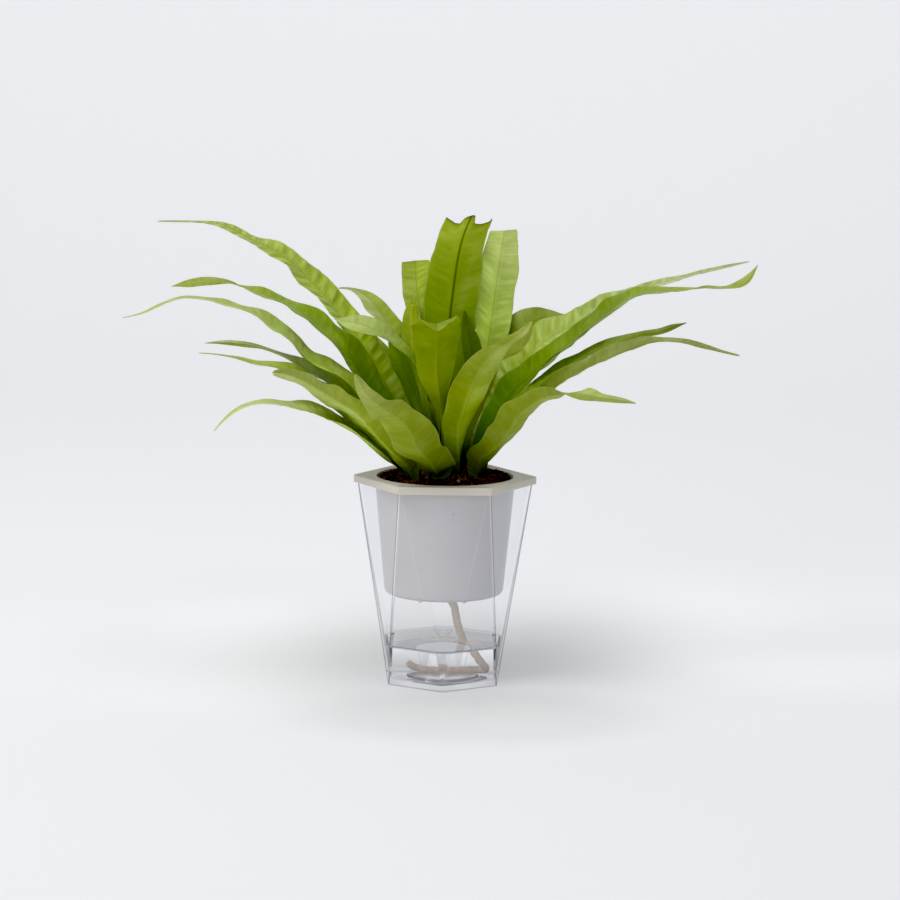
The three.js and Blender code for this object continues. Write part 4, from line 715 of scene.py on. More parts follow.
        (56.5, -13.6, 180.9, 12.6, 8, 2.8),
        (65.2, -10.3, 186, 12.8, 6, 2.4),
        (74.2, -8.3, 190.9, 12.2, 8, 1.9),
        (83.2, -7.3, 195.7, 10.6, 11, 1.5),
        (92.7, -6.9, 199.6, 8.1, 15, 1.1),
        (102.5, -7.1, 202.6, 5.6, 19, 0.7),
        (112.3, -7.5, 205.6, 3.7, 26, 0.4),
        (122.3, -8.1, 207.4, 2.3, 47, 0.3),
        (129.4, -8.6, 210, 1.7, 66, 0.2),
        (136.6, -9.1, 212.4, 0.5, 30, 0),
    ]),
    "frond_right_4": (-14, [
        (19, -14.4, 124.6, 3, 0, 1.5),
        (22.9, -15.2, 133.2, 3.5, -31, 1.9),
        (27.5, -16.2, 141, 4.6, -42, 2.5),
        (35, -18.3, 150.8, 6.2, -34, 2.8),
        (42.8, -21, 160.3, 7.8, -26, 3),
        (50.9, -23.1, 169.5, 9.4, -20, 3),
        (59.5, -23.7, 177.9, 10.7, -17, 2.8),
        (69, -24.7, 185.1, 11.4, -14, 2.5),
        (79.7, -26.4, 190.5, 11.6, -16, 2.1),
        (90.3, -28.4, 196, 11.1, -18, 1.8),
        (101.2, -30.8, 200.8, 9.5, -18, 1.4),
        (112.2, -33.4, 204.7, 7.3, -20, 1),
        (123.8, -36.2, 205.6, 5.1, -22, 0.6),
        (135.4, -39, 204.6, 3.4, -26, 0.4),
        (146.6, -41.8, 202.1, 2.2, -40, 0.2),
        (155, -43.9, 199.9, 1.3, -45, 0.1),
        (163.4, -46, 198.1, 0.6, -54, 0.1),
    ]),
    "frond_right_5": (44, [
        (11, 12.2, 126.2, 2.3, 0, 1.2),
        (13.6, 13.9, 130.6, 3, 3, 1.7),
        (17.2, 16.2, 138.1, 4.7, -1, 2.4),
        (21.6, 20.3, 147.5, 7.1, -6, 3),
        (25.6, 25.7, 156.9, 9.4, -10, 3.2),
        (29.6, 31, 166.4, 11.4, -10, 3),
        (33.7, 36.8, 175.8, 12.9, -10, 2.7),
        (37.7, 42.7, 185.3, 13.8, -10, 2.4),
        (41.7, 46.5, 195.1, 14, -4, 2),
        (46.9, 49.4, 204.3, 12.7, 24, 1.7),
        (55.5, 55, 208.7, 9, 41, 1.1),
        (66, 64, 208.4, 5.8, 35, 0.6),
        (75, 72.3, 206.4, 3.5, 42, 0.4),
        (83.5, 80.3, 202.2, 1.2, 67, 0.1),
    ]),
    "frond_young": (118, [
        (-6, 4.5, 126.3, 1.1, -28, 0.5),
        (-6, 5.7, 130.6, 1.3, -28, 0.7),
        (-5.9, 7.3, 136.9, 1.6, -27, 0.8),
        (-5.8, 10, 146.2, 2.1, -27, 0.8),
        (-7.2, 12.7, 155.3, 2.4, -27, 0.7),
        (-11.2, 16, 165.5, 2.8, -28, 0.6),
        (-14.9, 19.4, 175.8, 2.6, -27, 0.4),
        (-18.3, 22.6, 186.2, 2.1, -26, 0.3),
        (-19.1, 25.8, 197.2, 2.1, -27, 0.3),
        (-19.6, 28.8, 208.2, 2.2, -27, 0.3),
        (-19.8, 31, 216.6, 1.9, -26, 0.2),
    ]),
}

# ---------------------------------------------------------------- planter materials
def clear_solid(name, tint, ior, rough):
    """A clear solid that bends what is seen through it and lets lamps through to what is inside it."""
    m, nt, out = new_material(name)
    glass = node(nt, "ShaderNodeBsdfPrincipled", {
        "Base Color": rgba(tint), "Roughness": rough, "IOR": ior, "Transmission Weight": 1.0})
    see = node(nt, "ShaderNodeBsdfTransparent", {"Color": rgba(tint)})
    lp = node(nt, "ShaderNodeLightPath")
    through = calc(nt, "MAXIMUM", lp.outputs["Is Shadow Ray"], lp.outputs["Is Diffuse Ray"])
    mix = node(nt, "ShaderNodeMixShader", {0: through, 1: glass.outputs[0], 2: see.outputs[0]})
    nt.links.new(mix.outputs[0], out.inputs[0])
    return m


def lit_through(nt, share, see, sheen, out):
    """Joins the seen-through and mirrored parts; lamps shine on through the clear wall almost unchanged."""
    mix = node(nt, "ShaderNodeMixShader", {0: share, 1: see.outputs[0], 2: sheen.outputs[0]})
    lamp = node(nt, "ShaderNodeBsdfTransparent", {"Color": rgba((0.985, 0.985, 0.99))})
    shadow = node(nt, "ShaderNodeLightPath").outputs["Is Shadow Ray"]
    last = node(nt, "ShaderNodeMixShader", {0: shadow, 1: mix.outputs[0], 2: lamp.outputs[0]})
    nt.links.new(last.outputs[0], out.inputs[0])


def clear_wall(name, tint, gloss, least, most, power, rough):
    """A thin parallel wall: it bends nothing that is seen through it and mirrors more at a glancing angle."""
    m, nt, out = new_material(name)
    facing = node(nt, "ShaderNodeLayerWeight", {"Blend": 0.5}).outputs["Facing"]
    share = calc(nt, "MULTIPLY_ADD", calc(nt, "POWER", facing, power), most, least, clamp=True)
    see = node(nt, "ShaderNodeBsdfTransparent", {"Color": rgba(tint)})
    sheen = node(nt, "ShaderNodeBsdfGlossy", {"Color": rgba(gloss), "Roughness": rough})
    lit_through(nt, share, see, sheen, out)
    return m


def clear_edge(name, face_on, side_on, gloss, share, rough, low=0.30, high=0.60):
    """A corner of the clear wall: light passes where it is seen square on and is lost where it is seen edge on."""
    m, nt, out = new_material(name)
    facing = node(nt, "ShaderNodeLayerWeight", {"Blend": 0.5}).outputs["Facing"]
    col = blend(nt, ramp(nt, facing, low, high), rgba(face_on), rgba(side_on))
    see = node(nt, "ShaderNodeBsdfTransparent", {"Color": col})
    sheen = node(nt, "ShaderNodeBsdfGlossy", {"Color": rgba(gloss), "Roughness": rough})
    lit_through(nt, share, see, sheen, out)
    return m


def clear_line(name, tint, most, rough):
    """A rounded corner with a painted highlight: its mirrored colour is painted white beside the bucket and grey below
    it, and it is lost in the water.
    """
    m, nt, out = new_material(name)
    z = node(nt, "ShaderNodeSeparateXYZ", {0: node(nt, "ShaderNodeTexCoord").outputs["Object"]}).outputs[2]
    # painted highlight: the mirrored colour is white above 40 to 56 mm and grey below
    painted_gleam = blend(nt, ramp(nt, z, 0.040, 0.056), rgba((0.35, 0.34, 0.38)), rgba((1.0, 1.0, 1.0)))
    share = calc(nt, "MULTIPLY", ramp(nt, z, 0.020, 0.026, 0.06, 1.0), ramp(nt, z, 0.030, 0.060, 0.45 * most, most))
    see = node(nt, "ShaderNodeBsdfTransparent", {"Color": rgba(tint)})
    sheen = node(nt, "ShaderNodeBsdfGlossy", {"Color": painted_gleam, "Roughness": rough})
    lit_through(nt, share, see, sheen, out)
    return m


def white_plastic():
    m, nt, out = new_material("white_polypropylene")
    co = node(nt, "ShaderNodeTexCoord").outputs["Object"]
    z = node(nt, "ShaderNodeSeparateXYZ", {0: co}).outputs[2]
    fine = node(nt, "ShaderNodeTexNoise", {"Vector": co, "Scale": 2600.0, "Detail": 2.0}).outputs[0]
    flow = node(nt, "ShaderNodeTexNoise", {"Vector": co, "Scale": 26.0, "Detail": 2.0, "Roughness": 0.5}).outputs[0]
    # painted shade: below the flange, inside the clear cup, the white is painted a cool lilac grey for the cup's tint
    # and shade; the flange above is warm ivory
    warm = ramp(nt, z, 0.110, 0.119)
    col = blend(nt, warm, rgba((0.605, 0.598, 0.622)), rgba((0.635, 0.590, 0.522)))
    col = blend(nt, ramp(nt, flow, 0.35, 0.7, 0.0, 0.12), col, rgba((0.50, 0.485, 0.465)))
    bump = node(nt, "ShaderNodeBump", {"Strength": 0.3, "Distance": 0.00002, "Height": fine})
    bsdf = node(nt, "ShaderNodeBsdfPrincipled", {
        "Base Color": col, "Roughness": ramp(nt, flow, 0.2, 0.8, 0.34, 0.46), "IOR": 1.49,
        "Subsurface Weight": 0.35, "Subsurface Radius": (1.0, 0.95, 0.85), "Subsurface Scale": 0.003,
        "Normal": bump.outputs[0]})
    nt.links.new(bsdf.outputs[0], out.inputs[0])
    return m


def cotton():
    m, nt, out = new_material("cotton_rope")
    uv = node(nt, "ShaderNodeUVMap", uv_map="rope").outputs[0]
    sp = node(nt, "ShaderNodeSeparateXYZ", {0: uv})
    # yarns run along the strands: across the rope u turns once, along it v is in mm / 100
    lay = calc(nt, "ADD", calc(nt, "MULTIPLY", sp.outputs[0], 44.0), calc(nt, "MULTIPLY", sp.outputs[1], -610.0))
    yarn = calc(nt, "ADD", calc(nt, "MULTIPLY", calc(nt, "SINE", lay), 0.5), 0.5)
    co = node(nt, "ShaderNodeTexCoord").outputs["Object"]
    fuzz = node(nt, "ShaderNodeTexNoise", {"Vector": co, "Scale": 1900.0, "Detail": 4.0, "Roughness": 0.7}).outputs[0]
    damp = node(nt, "ShaderNodeTexNoise", {"Vector": co, "Scale": 130.0, "Detail": 2.0}).outputs[0]
    col = blend(nt, damp, rgba((0.70, 0.58, 0.50)), rgba((0.86, 0.77, 0.69)))
    # painted shade: darker in the grooves between the yarns
    col = blend(nt, ramp(nt, yarn, 0.0, 0.5, 0.28, 0.0), col, rgba((0.40, 0.31, 0.26)))
    height = calc(nt, "ADD", yarn, calc(nt, "MULTIPLY", fuzz, 0.7))
    bump = node(nt, "ShaderNodeBump", {"Strength": 0.8, "Distance": 0.00022, "Height": height})
    bsdf = node(nt, "ShaderNodeBsdfPrincipled", {
        "Base Color": col, "Roughness": ramp(nt, fuzz, 0.2, 0.8, 0.75, 0.95), "Sheen Weight": 0.25, "Sheen Roughness": 0.5,
        "Subsurface Weight": 0.15, "Subsurface Radius": (1.0, 0.8, 0.7), "Subsurface Scale": 0.0012, "Normal": bump.outputs[0]})
    nt.links.new(bsdf.outputs[0], out.inputs[0])
    return m


def earth():
    m, nt, out = new_material("potting_mix_grain")
    co = node(nt, "ShaderNodeTexCoord").outputs["Object"]
    grain = node(nt, "ShaderNodeAttribute", attribute_name="grain").outputs["Fac"]
    a = node(nt, "ShaderNodeTexNoise", {"Vector": co, "Scale": 420.0, "Detail": 5.0, "Roughness": 0.7}).outputs[0]
    b = node(nt, "ShaderNodeTexVoronoi", {"Vector": co, "Scale": 900.0}).outputs[0]
    col = blend(nt, ramp(nt, a, 0.3, 0.7), rgba((0.007, 0.0035, 0.0018)), rgba((0.036, 0.016, 0.008)))
    col = blend(nt, ramp(nt, grain, 0.25, 0.8), col, rgba((0.085, 0.038, 0.019)))
    col = blend(nt, ramp(nt, grain, 0.86, 0.90), col, rgba((0.12, 0.062, 0.033)))
    col = blend(nt, ramp(nt, grain, 1.4, 1.6), col, rgba((0.24, 0.22, 0.21)))
    h = calc(nt, "ADD", a, calc(nt, "MULTIPLY", b, 0.6))
    bump = node(nt, "ShaderNodeBump", {"Strength": 0.9, "Distance": 0.0006, "Height": h})
    bsdf = node(nt, "ShaderNodeBsdfPrincipled", {
        "Base Color": col, "Roughness": ramp(nt, a, 0.3, 0.7, 0.80, 0.98), "Specular IOR Level": 0.15, "Normal": bump.outputs[0]})
    nt.links.new(bsdf.outputs[0], out.inputs[0])
    return m


def bark():
    m, nt, out = new_material("rhizome_scale")
    co = node(nt, "ShaderNodeTexCoord").outputs["Object"]
    grain = node(nt, "ShaderNodeAttribute", attribute_name="grain").outputs["Fac"]
    a = node(nt, "ShaderNodeTexNoise", {"Vector": co, "Scale": 700.0, "Detail": 4.0, "Roughness": 0.65}).outputs[0]
    col = blend(nt, a, rgba((0.010, 0.007, 0.004)), rgba((0.085, 0.045, 0.022)))
    col = blend(nt, calc(nt, "MULTIPLY", grain, 0.7), col, rgba((0.14, 0.085, 0.040)))
    bump = node(nt, "ShaderNodeBump", {"Strength": 0.8, "Distance": 0.0004, "Height": a})
    bsdf = node(nt, "ShaderNodeBsdfPrincipled", {
        "Base Color": col, "Roughness": ramp(nt, a, 0.3, 0.7, 0.6, 0.85), "Normal": bump.outputs[0]})
    nt.links.new(bsdf.outputs[0], out.inputs[0])
    return m


CLEAR = clear_wall("clear_polystyrene", (0.955, 0.955, 0.968), (1.0, 1.0, 1.0), 0.05, 0.85, 3.5, 0.04)
WALL = clear_wall("clear_polystyrene_wall", (0.985, 0.985, 0.99), (1.0, 1.0, 1.0), 0.035, 0.90, 5.0, 0.03)
EDGE = clear_edge("clear_polystyrene_edge", (0.985, 0.985, 0.99), (0.58, 0.57, 0.62), (1.0, 1.0, 1.0), 0.04, 0.15)
# painted highlight: corner strips that mirror more than the flat wall of the same plastic
RIDGE = clear_wall("clear_polystyrene_ridge", (0.97, 0.97, 0.98), (1.0, 1.0, 1.0), 0.13, 0.80, 4.0, 0.10)
# painted highlight: corner lines at full strength (LINE) and fainter (LINE_SOFT), see clear_line
LINE = clear_line("clear_polystyrene_line", (0.93, 0.93, 0.95), 0.62, 0.20)
LINE_SOFT = clear_line("clear_polystyrene_soft_line", (0.95, 0.95, 0.96), 0.30, 0.20)
FLOOR = clear_wall("clear_polystyrene_floor", (0.985, 0.985, 0.99), (1.0, 1.0, 1.0), 0.02, 0.20, 4.0, 0.06)
# painted shade: a dark lilac tint that draws the outlines of the foot's lowest bevels and of the boss's side
RIM = clear_edge("clear_polystyrene_rim", (0.60, 0.58, 0.68), (0.50, 0.48, 0.58), (1.0, 1.0, 1.0), 0.12, 0.10)
DISC = clear_wall("clear_polystyrene_disc", (0.97, 0.97, 0.98), (1.0, 1.0, 1.0), 0.35, 0.65, 3.0, 0.12)
WATER = clear_solid("clear_water", (0.99, 0.994, 0.996), 1.333, 0.0)
WATER_LOW = clear_wall("clear_water_underside", (0.99, 0.992, 0.994), (1.0, 1.0, 1.0), 0.04, 0.70, 3.0, 0.06)
# painted shade: the water's climbing edge is tinted grey as a dark line, paler on its far half
MENISCUS = clear_wall("clear_water_edge", (0.80, 0.80, 0.84), (1.0, 1.0, 1.0), 0.03, 0.30, 3.0, 0.08)
MENISCUS_FAR = clear_wall("clear_water_far_edge", (0.93, 0.93, 0.95), (1.0, 1.0, 1.0), 0.03, 0.30, 3.0, 0.08)
WHITE = white_plastic()
COTTON = cotton()
EARTH = earth()
BARK = bark()

# ---------------------------------------------------------------- wick: a cotton rope with a bare cut end
WICK_PATH = [
    (0, 0, 80), (0, 0, 72), (0, 0, 63), (0.1, 0, 57), (0.7, 0, 52.6), (2.6, 0, 49.2), (4.9, 0, 46.2), (6.4, 0, 42.6),
    (7.3, 0, 38.4), (8.2, 0, 33.6), (9.7, 0.1, 28.6), (11.5, 0.4, 23.6), (13.7, 1.0, 19.2), (16.4, 2.2, 15.0),
    (19.0, 4.6, 11.0), (20.7, 8.8, 7.9), (20.1, 13.6, 6.3), (17.0, 17.8, 5.8), (12.2, 20.6, 5.75), (6.4, 22.0, 5.75),
    (0.6, 22.3, 5.75), (-4.6, 21.9, 6.0), (-9.0, 20.9, 7.0), (-13.2, 19.2, 8.8)]
WICK_R = 2.35


def rope_line():
    p = np.array(WICK_PATH, float)
    u = np.concatenate([[0], np.cumsum(np.sqrt(np.linalg.norm(np.diff(p, axis=0), axis=1)))])
    q = np.linspace(0, u[-1], 900)
    fine = along(u, p, slopes(u, p), q)
    s = np.concatenate([[0], np.cumsum(np.linalg.norm(np.diff(fine, axis=0), axis=1))])
    n = int(s[-1] / 0.45)
    at = np.linspace(0, s[-1], n)
    return np.stack([np.interp(at, s, fine[:, k]) for k in range(3)], 1), at


def moving_frame(p):
    """Two directions square to the line at each point, carried along it without twist."""
    t = np.gradient(p, axis=0)
    t /= np.linalg.norm(t, axis=1)[:, None]
    a = np.cross(t[0], [0, 1, 0])
    a /= np.linalg.norm(a)
    out = [a]
    for i in range(1, len(p)):
        a = out[-1] - t[i] * (out[-1] @ t[i])
        out.append(a / np.linalg.norm(a))
    a = np.array(out)
    return t, a, np.cross(t, a)


def build_wick():
    p, s = rope_line()
    t, a, b = moving_frame(p)
    n = 30
    th = np.arange(n) * 2 * np.pi / n
    rng = np.random.default_rng(11)
    rows, uv = [], []
    for j in range(len(p)):
        psi = 1.5 * (th - 2 * np.pi * s[j] / 17.0)
        r = WICK_R * (0.84 + 0.17 * np.abs(np.cos(psi)) ** 0.8) + rng.normal(0, 0.018, n)
        r *= 1 + 0.03 * math.sin(s[j] * 0.9) + 0.02 * math.sin(s[j] * 2.3 + 1)
        if s[j] > s[-1] - 0.9:
            r = r * (1 - 0.10 * (1 - (s[-1] - s[j]) / 0.9))
        rows.append(p[j] + np.cos(th)[:, None] * a[j] * r[:, None] + np.sin(th)[:, None] * b[j] * r[:, None])
        uv += [(k / n, s[j] / 100) for k in range(n)]
    v = np.concatenate(rows)
    f = [tuple(reversed(q)) for q in rings_to_faces(len(p), n)]
    v = v.tolist()
    # start: flat, inside the mix; end: cut across, with the strands' ends a little domed
    c0 = len(v)
    v.append(p[0].tolist()); uv.append((0, 0))
    f += [(c0, i, (i + 1) % n) for i in range(n)]
    base = (len(p) - 1) * n
    for k, (sc, push) in enumerate(((0.80, 0.28), (0.45, 0.30))):
        ring = p[-1] + (np.array(rows[-1]) - p[-1]) * sc + t[-1] * push
        start = len(v)
        v += ring.tolist()
        uv += [(i / n, s[-1] / 100) for i in range(n)]
        prev = base if k == 0 else start - n
        f += [(prev + (i + 1) % n, prev + i, start + i, start + (i + 1) % n) for i in range(n)]
    c1 = len(v)
    v.append((p[-1] + t[-1] * 0.1).tolist()); uv.append((0, s[-1] / 100))
    f += [(c1, start + (i + 1) % n, start + i) for i in range(n)]
    # loose yarn ends at the cut
    for k in range(46):
        ang, rad = rng.uniform(0, 2 * np.pi), WICK_R * math.sqrt(rng.uniform(0.05, 1.0)) * 0.92
        d = t[-1] + 0.5 * (math.cos(ang) * a[-1] + math.sin(ang) * b[-1]) * rng.uniform(0.2, 1.3) + rng.normal(0, 0.14, 3)
        d /= np.linalg.norm(d)
        root = p[-1] + (math.cos(ang) * a[-1] + math.sin(ang) * b[-1]) * rad - t[-1] * 0.3
        ln, w = rng.uniform(0.9, 2.3), rng.uniform(0.10, 0.17)
        e1 = np.cross(d, [0.3, 0.2, 1.0]); e1 /= np.linalg.norm(e1)
        e2 = np.cross(d, e1)
        bend = rng.normal(0, 0.25, 3)
        start = len(v)
        for q, sc in ((0, 1), (0.5, 0.85), (1, 0.35)):
            c = root + d * ln * q + bend * q * q
            for h in range(4):
                v.append((c + (math.cos(h * np.pi / 2) * e1 + math.sin(h * np.pi / 2) * e2) * w * sc).tolist())
                uv.append((h / 4, s[-1] / 100))
        f.append((start, start + 1, start + 2, start + 3))
        for q in range(2):
            o = start + 4 * q
            f += [(o + (h + 1) % 4, o + h, o + 4 + h, o + 4 + (h + 1) % 4) for h in range(4)]
        f.append((start + 11, start + 10, start + 9, start + 8))
    ob = mesh_object("wick_rope", v, f, [COTTON], uvs={"rope": np.array(uv)})
    place(ob, "wick")
    return ob


build_wick()

# ---------------------------------------------------------------- inner pot
FLANGE_TOP, FLANGE_R, SKIRT = 120.9, 53.5, 4.5
MOUTH_R, POT_R_TOP, POT_R_BASE, POT_BASE, POT_WALL = 39.5, 41.0, 34.6, 52.0, 1.5


def sector_angles():
    """Angles round the pot, close together at the six corners on 0, 60, 120 degrees."""
    half = [0, 0.35, 0.7, 1.05, 1.4, 1.8, 2.4, 3.4, 5, 7, 9.5, 12, 15, 18, 21, 24, 27, 30]
    one = [-x for x in reversed(half[1:-1])] + half
    return np.radians([60 * k + x for k in range(6) for x in one])


POT_TH = sector_angles()


def hex_radius(th, corner, fillet):
    """Distance to a hexagon with rounded corners, seen from its middle."""
    off = (np.degrees(th) + 30) % 60 - 30          # from the nearest corner
    off = np.radians(np.abs(off))
    ap = corner * math.cos(math.pi / 6)
    flat = ap / np.cos(math.pi / 6 - off)
    c = (ap - fillet) / math.cos(math.pi / 6)      # middle of the rounding
    touch = math.atan2(fillet * 0.5, c + fillet * math.cos(math.pi / 6))
    disc = np.maximum(fillet**2 - (c * np.sin(off)) ** 2, 0)
    arc = c * np.cos(off) + np.sqrt(disc)
    return np.where(off < touch, arc, flat)


def build_pot():
    th = POT_TH
    n = len(th)
    rings = []

    def ring(kind, r, z, fillet=2.2):
        rad = np.full(n, r) if kind == "o" else hex_radius(th, r, fillet)
        rings.append(np.stack([rad * np.cos(th), rad * np.sin(th), np.full(n, z)], 1))

    def mixed(f, r_hex, r_round, z):
        rad = hex_radius(th, r_hex, 3) * (1 - f) + r_round * f
        rings.append(np.stack([rad * np.cos(th), rad * np.sin(th), np.full(n, z)], 1))

    k = 1 / math.cos(math.pi / 6)
    low = FLANGE_TOP - SKIRT
    inner = FLANGE_R - 1.4 * k
    # skirt, outside, from its lower edge up and over the rim
    ring("h", FLANGE_R - 0.45 * k, low, 1.9)
    ring("h", FLANGE_R - 0.14 * k, low + 0.12, 2.1)
    ring("h", FLANGE_R - 0.02 * k, low + 0.4)
    ring("h", FLANGE_R, low + 0.9)
    ring("h", FLANGE_R, FLANGE_TOP - 1.5)
    for q in np.radians([0, 15, 30, 45, 60, 75, 90]):
        ring("h", FLANGE_R - 0.85 * (1 - math.cos(q)) * k, FLANGE_TOP - 0.85 * (1 - math.sin(q)))
    # the plate dips a little towards the mouth's raised lip
    ring("h", FLANGE_R - 2.2 * k, FLANGE_TOP - 0.03)
    ring("h", FLANGE_R - 4.0 * k, FLANGE_TOP - 0.18, 3)
    mixed(0.45, FLANGE_R - 5.2 * k, MOUTH_R + 2.4, FLANGE_TOP - 0.24)
    mixed(0.9, FLANGE_R - 6.0 * k, MOUTH_R + 1.9, FLANGE_TOP - 0.24)
    ring("o", MOUTH_R + 1.55, FLANGE_TOP - 0.14)
    ring("o", MOUTH_R + 1.15, FLANGE_TOP - 0.02)
    ring("o", MOUTH_R + 0.75, FLANGE_TOP)
    ring("o", MOUTH_R + 0.38, FLANGE_TOP - 0.08)
    ring("o", MOUTH_R + 0.12, FLANGE_TOP - 0.32)
    ring("o", MOUTH_R, FLANGE_TOP - 0.75)

    def wall_in(z):
        return POT_R_BASE - POT_WALL + (MOUTH_R - POT_R_BASE + POT_WALL) * (z - POT_BASE) / (FLANGE_TOP - POT_BASE)

    for z in (118, 112, 104, 94, 84, 74, 64, 58):
        ring("o", wall_in(z), z)
    ring("o", wall_in(55.4), 55.4)
    ring("o", wall_in(54.6) - 0.5, 54.3)
    ring("o", wall_in(54) - 1.4, 53.65)
    ring("o", wall_in(54) - 2.6, POT_BASE + POT_WALL)
    for r in (24, 16, 9, 5.2):
        ring("o", r, POT_BASE + POT_WALL)
    ring("o", 4.3, POT_BASE + POT_WALL - 0.25)
    ring("o", 4.2, POT_BASE + 0.75)
    ring("o", 4.3, POT_BASE + 0.2)
    ring("o", 4.8, POT_BASE)
    # underside: flat from the wick hole out to a rounded lower edge
    ring("o", 12, POT_BASE)
    ring("o", 22, POT_BASE)
    ring("o", 28.5, POT_BASE)
    ring("o", POT_R_BASE - 2.6, POT_BASE)
    for q in np.radians([15, 30, 45, 60, 75, 90]):
        ring("o", POT_R_BASE - 2.6 + 2.8 * math.sin(q), POT_BASE + 2.6 * (1 - math.cos(q)))

    def wall_out(z):
        return POT_R_BASE + (POT_R_TOP - POT_R_BASE) * (z - POT_BASE) / (FLANGE_TOP - POT_BASE)

    for z in (56, 62, 70, 80, 90, 100, 108, 114, 117.5):
        ring("o", wall_out(z), z)
    ring("o", wall_out(118.6), 118.6)
    ring("o", wall_out(119) + 0.35, 119.1)
    ring("o", wall_out(119) + 0.9, 119.3)
    mixed(0.5, inner - 3, POT_R_TOP + 2, 119.3)
    ring("h", inner - 1.0, 119.3, 1.5)
    ring("h", inner - 0.3, 119.15, 1.2)
    ring("h", inner, 118.7, 1.2)
    ring("h", inner, low + 0.5, 1.2)
    ring("h", inner + 0.25 * k, low + 0.08, 1.4)
    ring("h", inner + 0.6 * k, low, 1.5)
    v = np.concatenate(rings)
    f = rings_to_faces(len(rings), n, close=True)
    v, f = v.tolist(), list(f)
    # two small moulded pips on the lower edge and a gate mark on the wall
    def pip(x, y, z, rx, rz, rd, outward):
        ax = np.array(outward, float); ax /= np.linalg.norm(ax)
        side = np.cross([0, 0, 1], ax); side /= np.linalg.norm(side)
        upv = np.cross(ax, side)
        start, m = len(v), 14
        steps = np.radians([0, 25, 50, 72])
        for q in steps:
            for i in range(m):
                a = 2 * np.pi * i / m
                v.append((np.array([x, y, z]) + side * rx * math.cos(q) * math.cos(a) + upv * rz * math.cos(q) * math.sin(a) + ax * rd * math.sin(q)).tolist())
        top = len(v)
        v.append((np.array([x, y, z]) + ax * rd).tolist())
        for j in range(len(steps) - 1):
            for i in range(m):
                a, b = start + j * m, start + (j + 1) * m
                f.append((a + i, a + (i + 1) % m, b + (i + 1) % m, b + i))
        last = start + (len(steps) - 1) * m
        f.extend((last + i, last + (i + 1) % m, top) for i in range(m))
        bot = len(v)
        v.append((np.array([x, y, z]) - ax * 0.3).tolist())
        f.extend((start + (i + 1) % m, start + i, bot) for i in range(m))

    for x in (-13.4, 11.9):
        y = -math.sqrt((POT_R_BASE - 1.1) ** 2 - x * x)
        pip(x, y, POT_BASE + 0.35, 1.5, 1.0, 0.95, (x, y, -28))
    pip(5.0, -wall_out(104.2) + 0.32, 104.2, 0.75, 0.75, 0.35, (5.0, -40, 0))
    ob = mesh_object("inner_pot_shell", v, f, [WHITE])
    return place(ob, "inner_pot")


build_pot()

# ---------------------------------------------------------------- outer cup
CUP_TOP, CUP_RT, CUP_RB = 119.0, 51.3, 36.5


def facet_ring(h, rt, rb, r, z, cols=5, arc=4):
    """One level of the twelve-facet body: h runs from 0 at the base hexagon to 1 at the rim's. Facet
    directions lie every 30 degrees, and r rounds the edges between them."""
    c30 = math.cos(math.pi / 6)
    d_rim = rb + h * (rt * c30 - rb)      # facets whose edge is on the rim, at 30, 90 ...
    d_base = rb * c30 + h * (rt - rb * c30)   # facets whose edge is on the base, at 0, 60 ...
    a, b = d_rim - r, d_base - r
    a, b = min(a, b / c30), min(b, a / c30)
    pts = []
    dirs = [math.radians(30 * i) for i in range(12)]
    off = [b if i % 2 == 0 else a for i in range(12)]
    corner = []
    for i in range(12):
        j = (i + 1) % 12
        n1 = np.array([math.cos(dirs[i]), math.sin(dirs[i])])
        n2 = np.array([math.cos(dirs[j]), math.sin(dirs[j])])
        corner.append(np.linalg.solve(np.stack([n1, n2]), [off[i], off[j]]))
    for i in range(12):
        c = corner[i]
        for k in range(arc + 1):
            q = dirs[i] + math.radians(30) * k / arc
            pts.append(c + r * np.array([math.cos(q), math.sin(q)]))
        j = (i + 1) % 12
        nj = np.array([math.cos(dirs[j]), math.sin(dirs[j])])
        p0, p1 = pts[-1], corner[j] + r * nj
        for k in range(1, cols + 1):
            w = k / (cols + 1)
            if cols == 5:
                e = min(1.1, 0.2 * np.linalg.norm(p1 - p0)) / max(np.linalg.norm(p1 - p0), 1e-6)
                w = (e, e + (1 - 2 * e) / 4, 0.5, 1 - e - (1 - 2 * e) / 4, 1 - e)[k - 1]
            pts.append(p0 * (1 - w) + p1 * w)
    p = np.array(pts)
    return np.column_stack([p, np.full(len(p), z)])


def round_like(ring, r, z):
    """A circle whose points follow a facet ring's directions."""
    a = np.arctan2(ring[:, 1], ring[:, 0])
    return np.column_stack([r * np.cos(a), r * np.sin(a), np.full(len(a), z)])


def cup_wall(z):
    """Inside of the cup at height z, as (h, rim corner radius, base corner radius)."""
    return (z - 3.0) / (CUP_TOP - 3.0), 49.25, 34.4


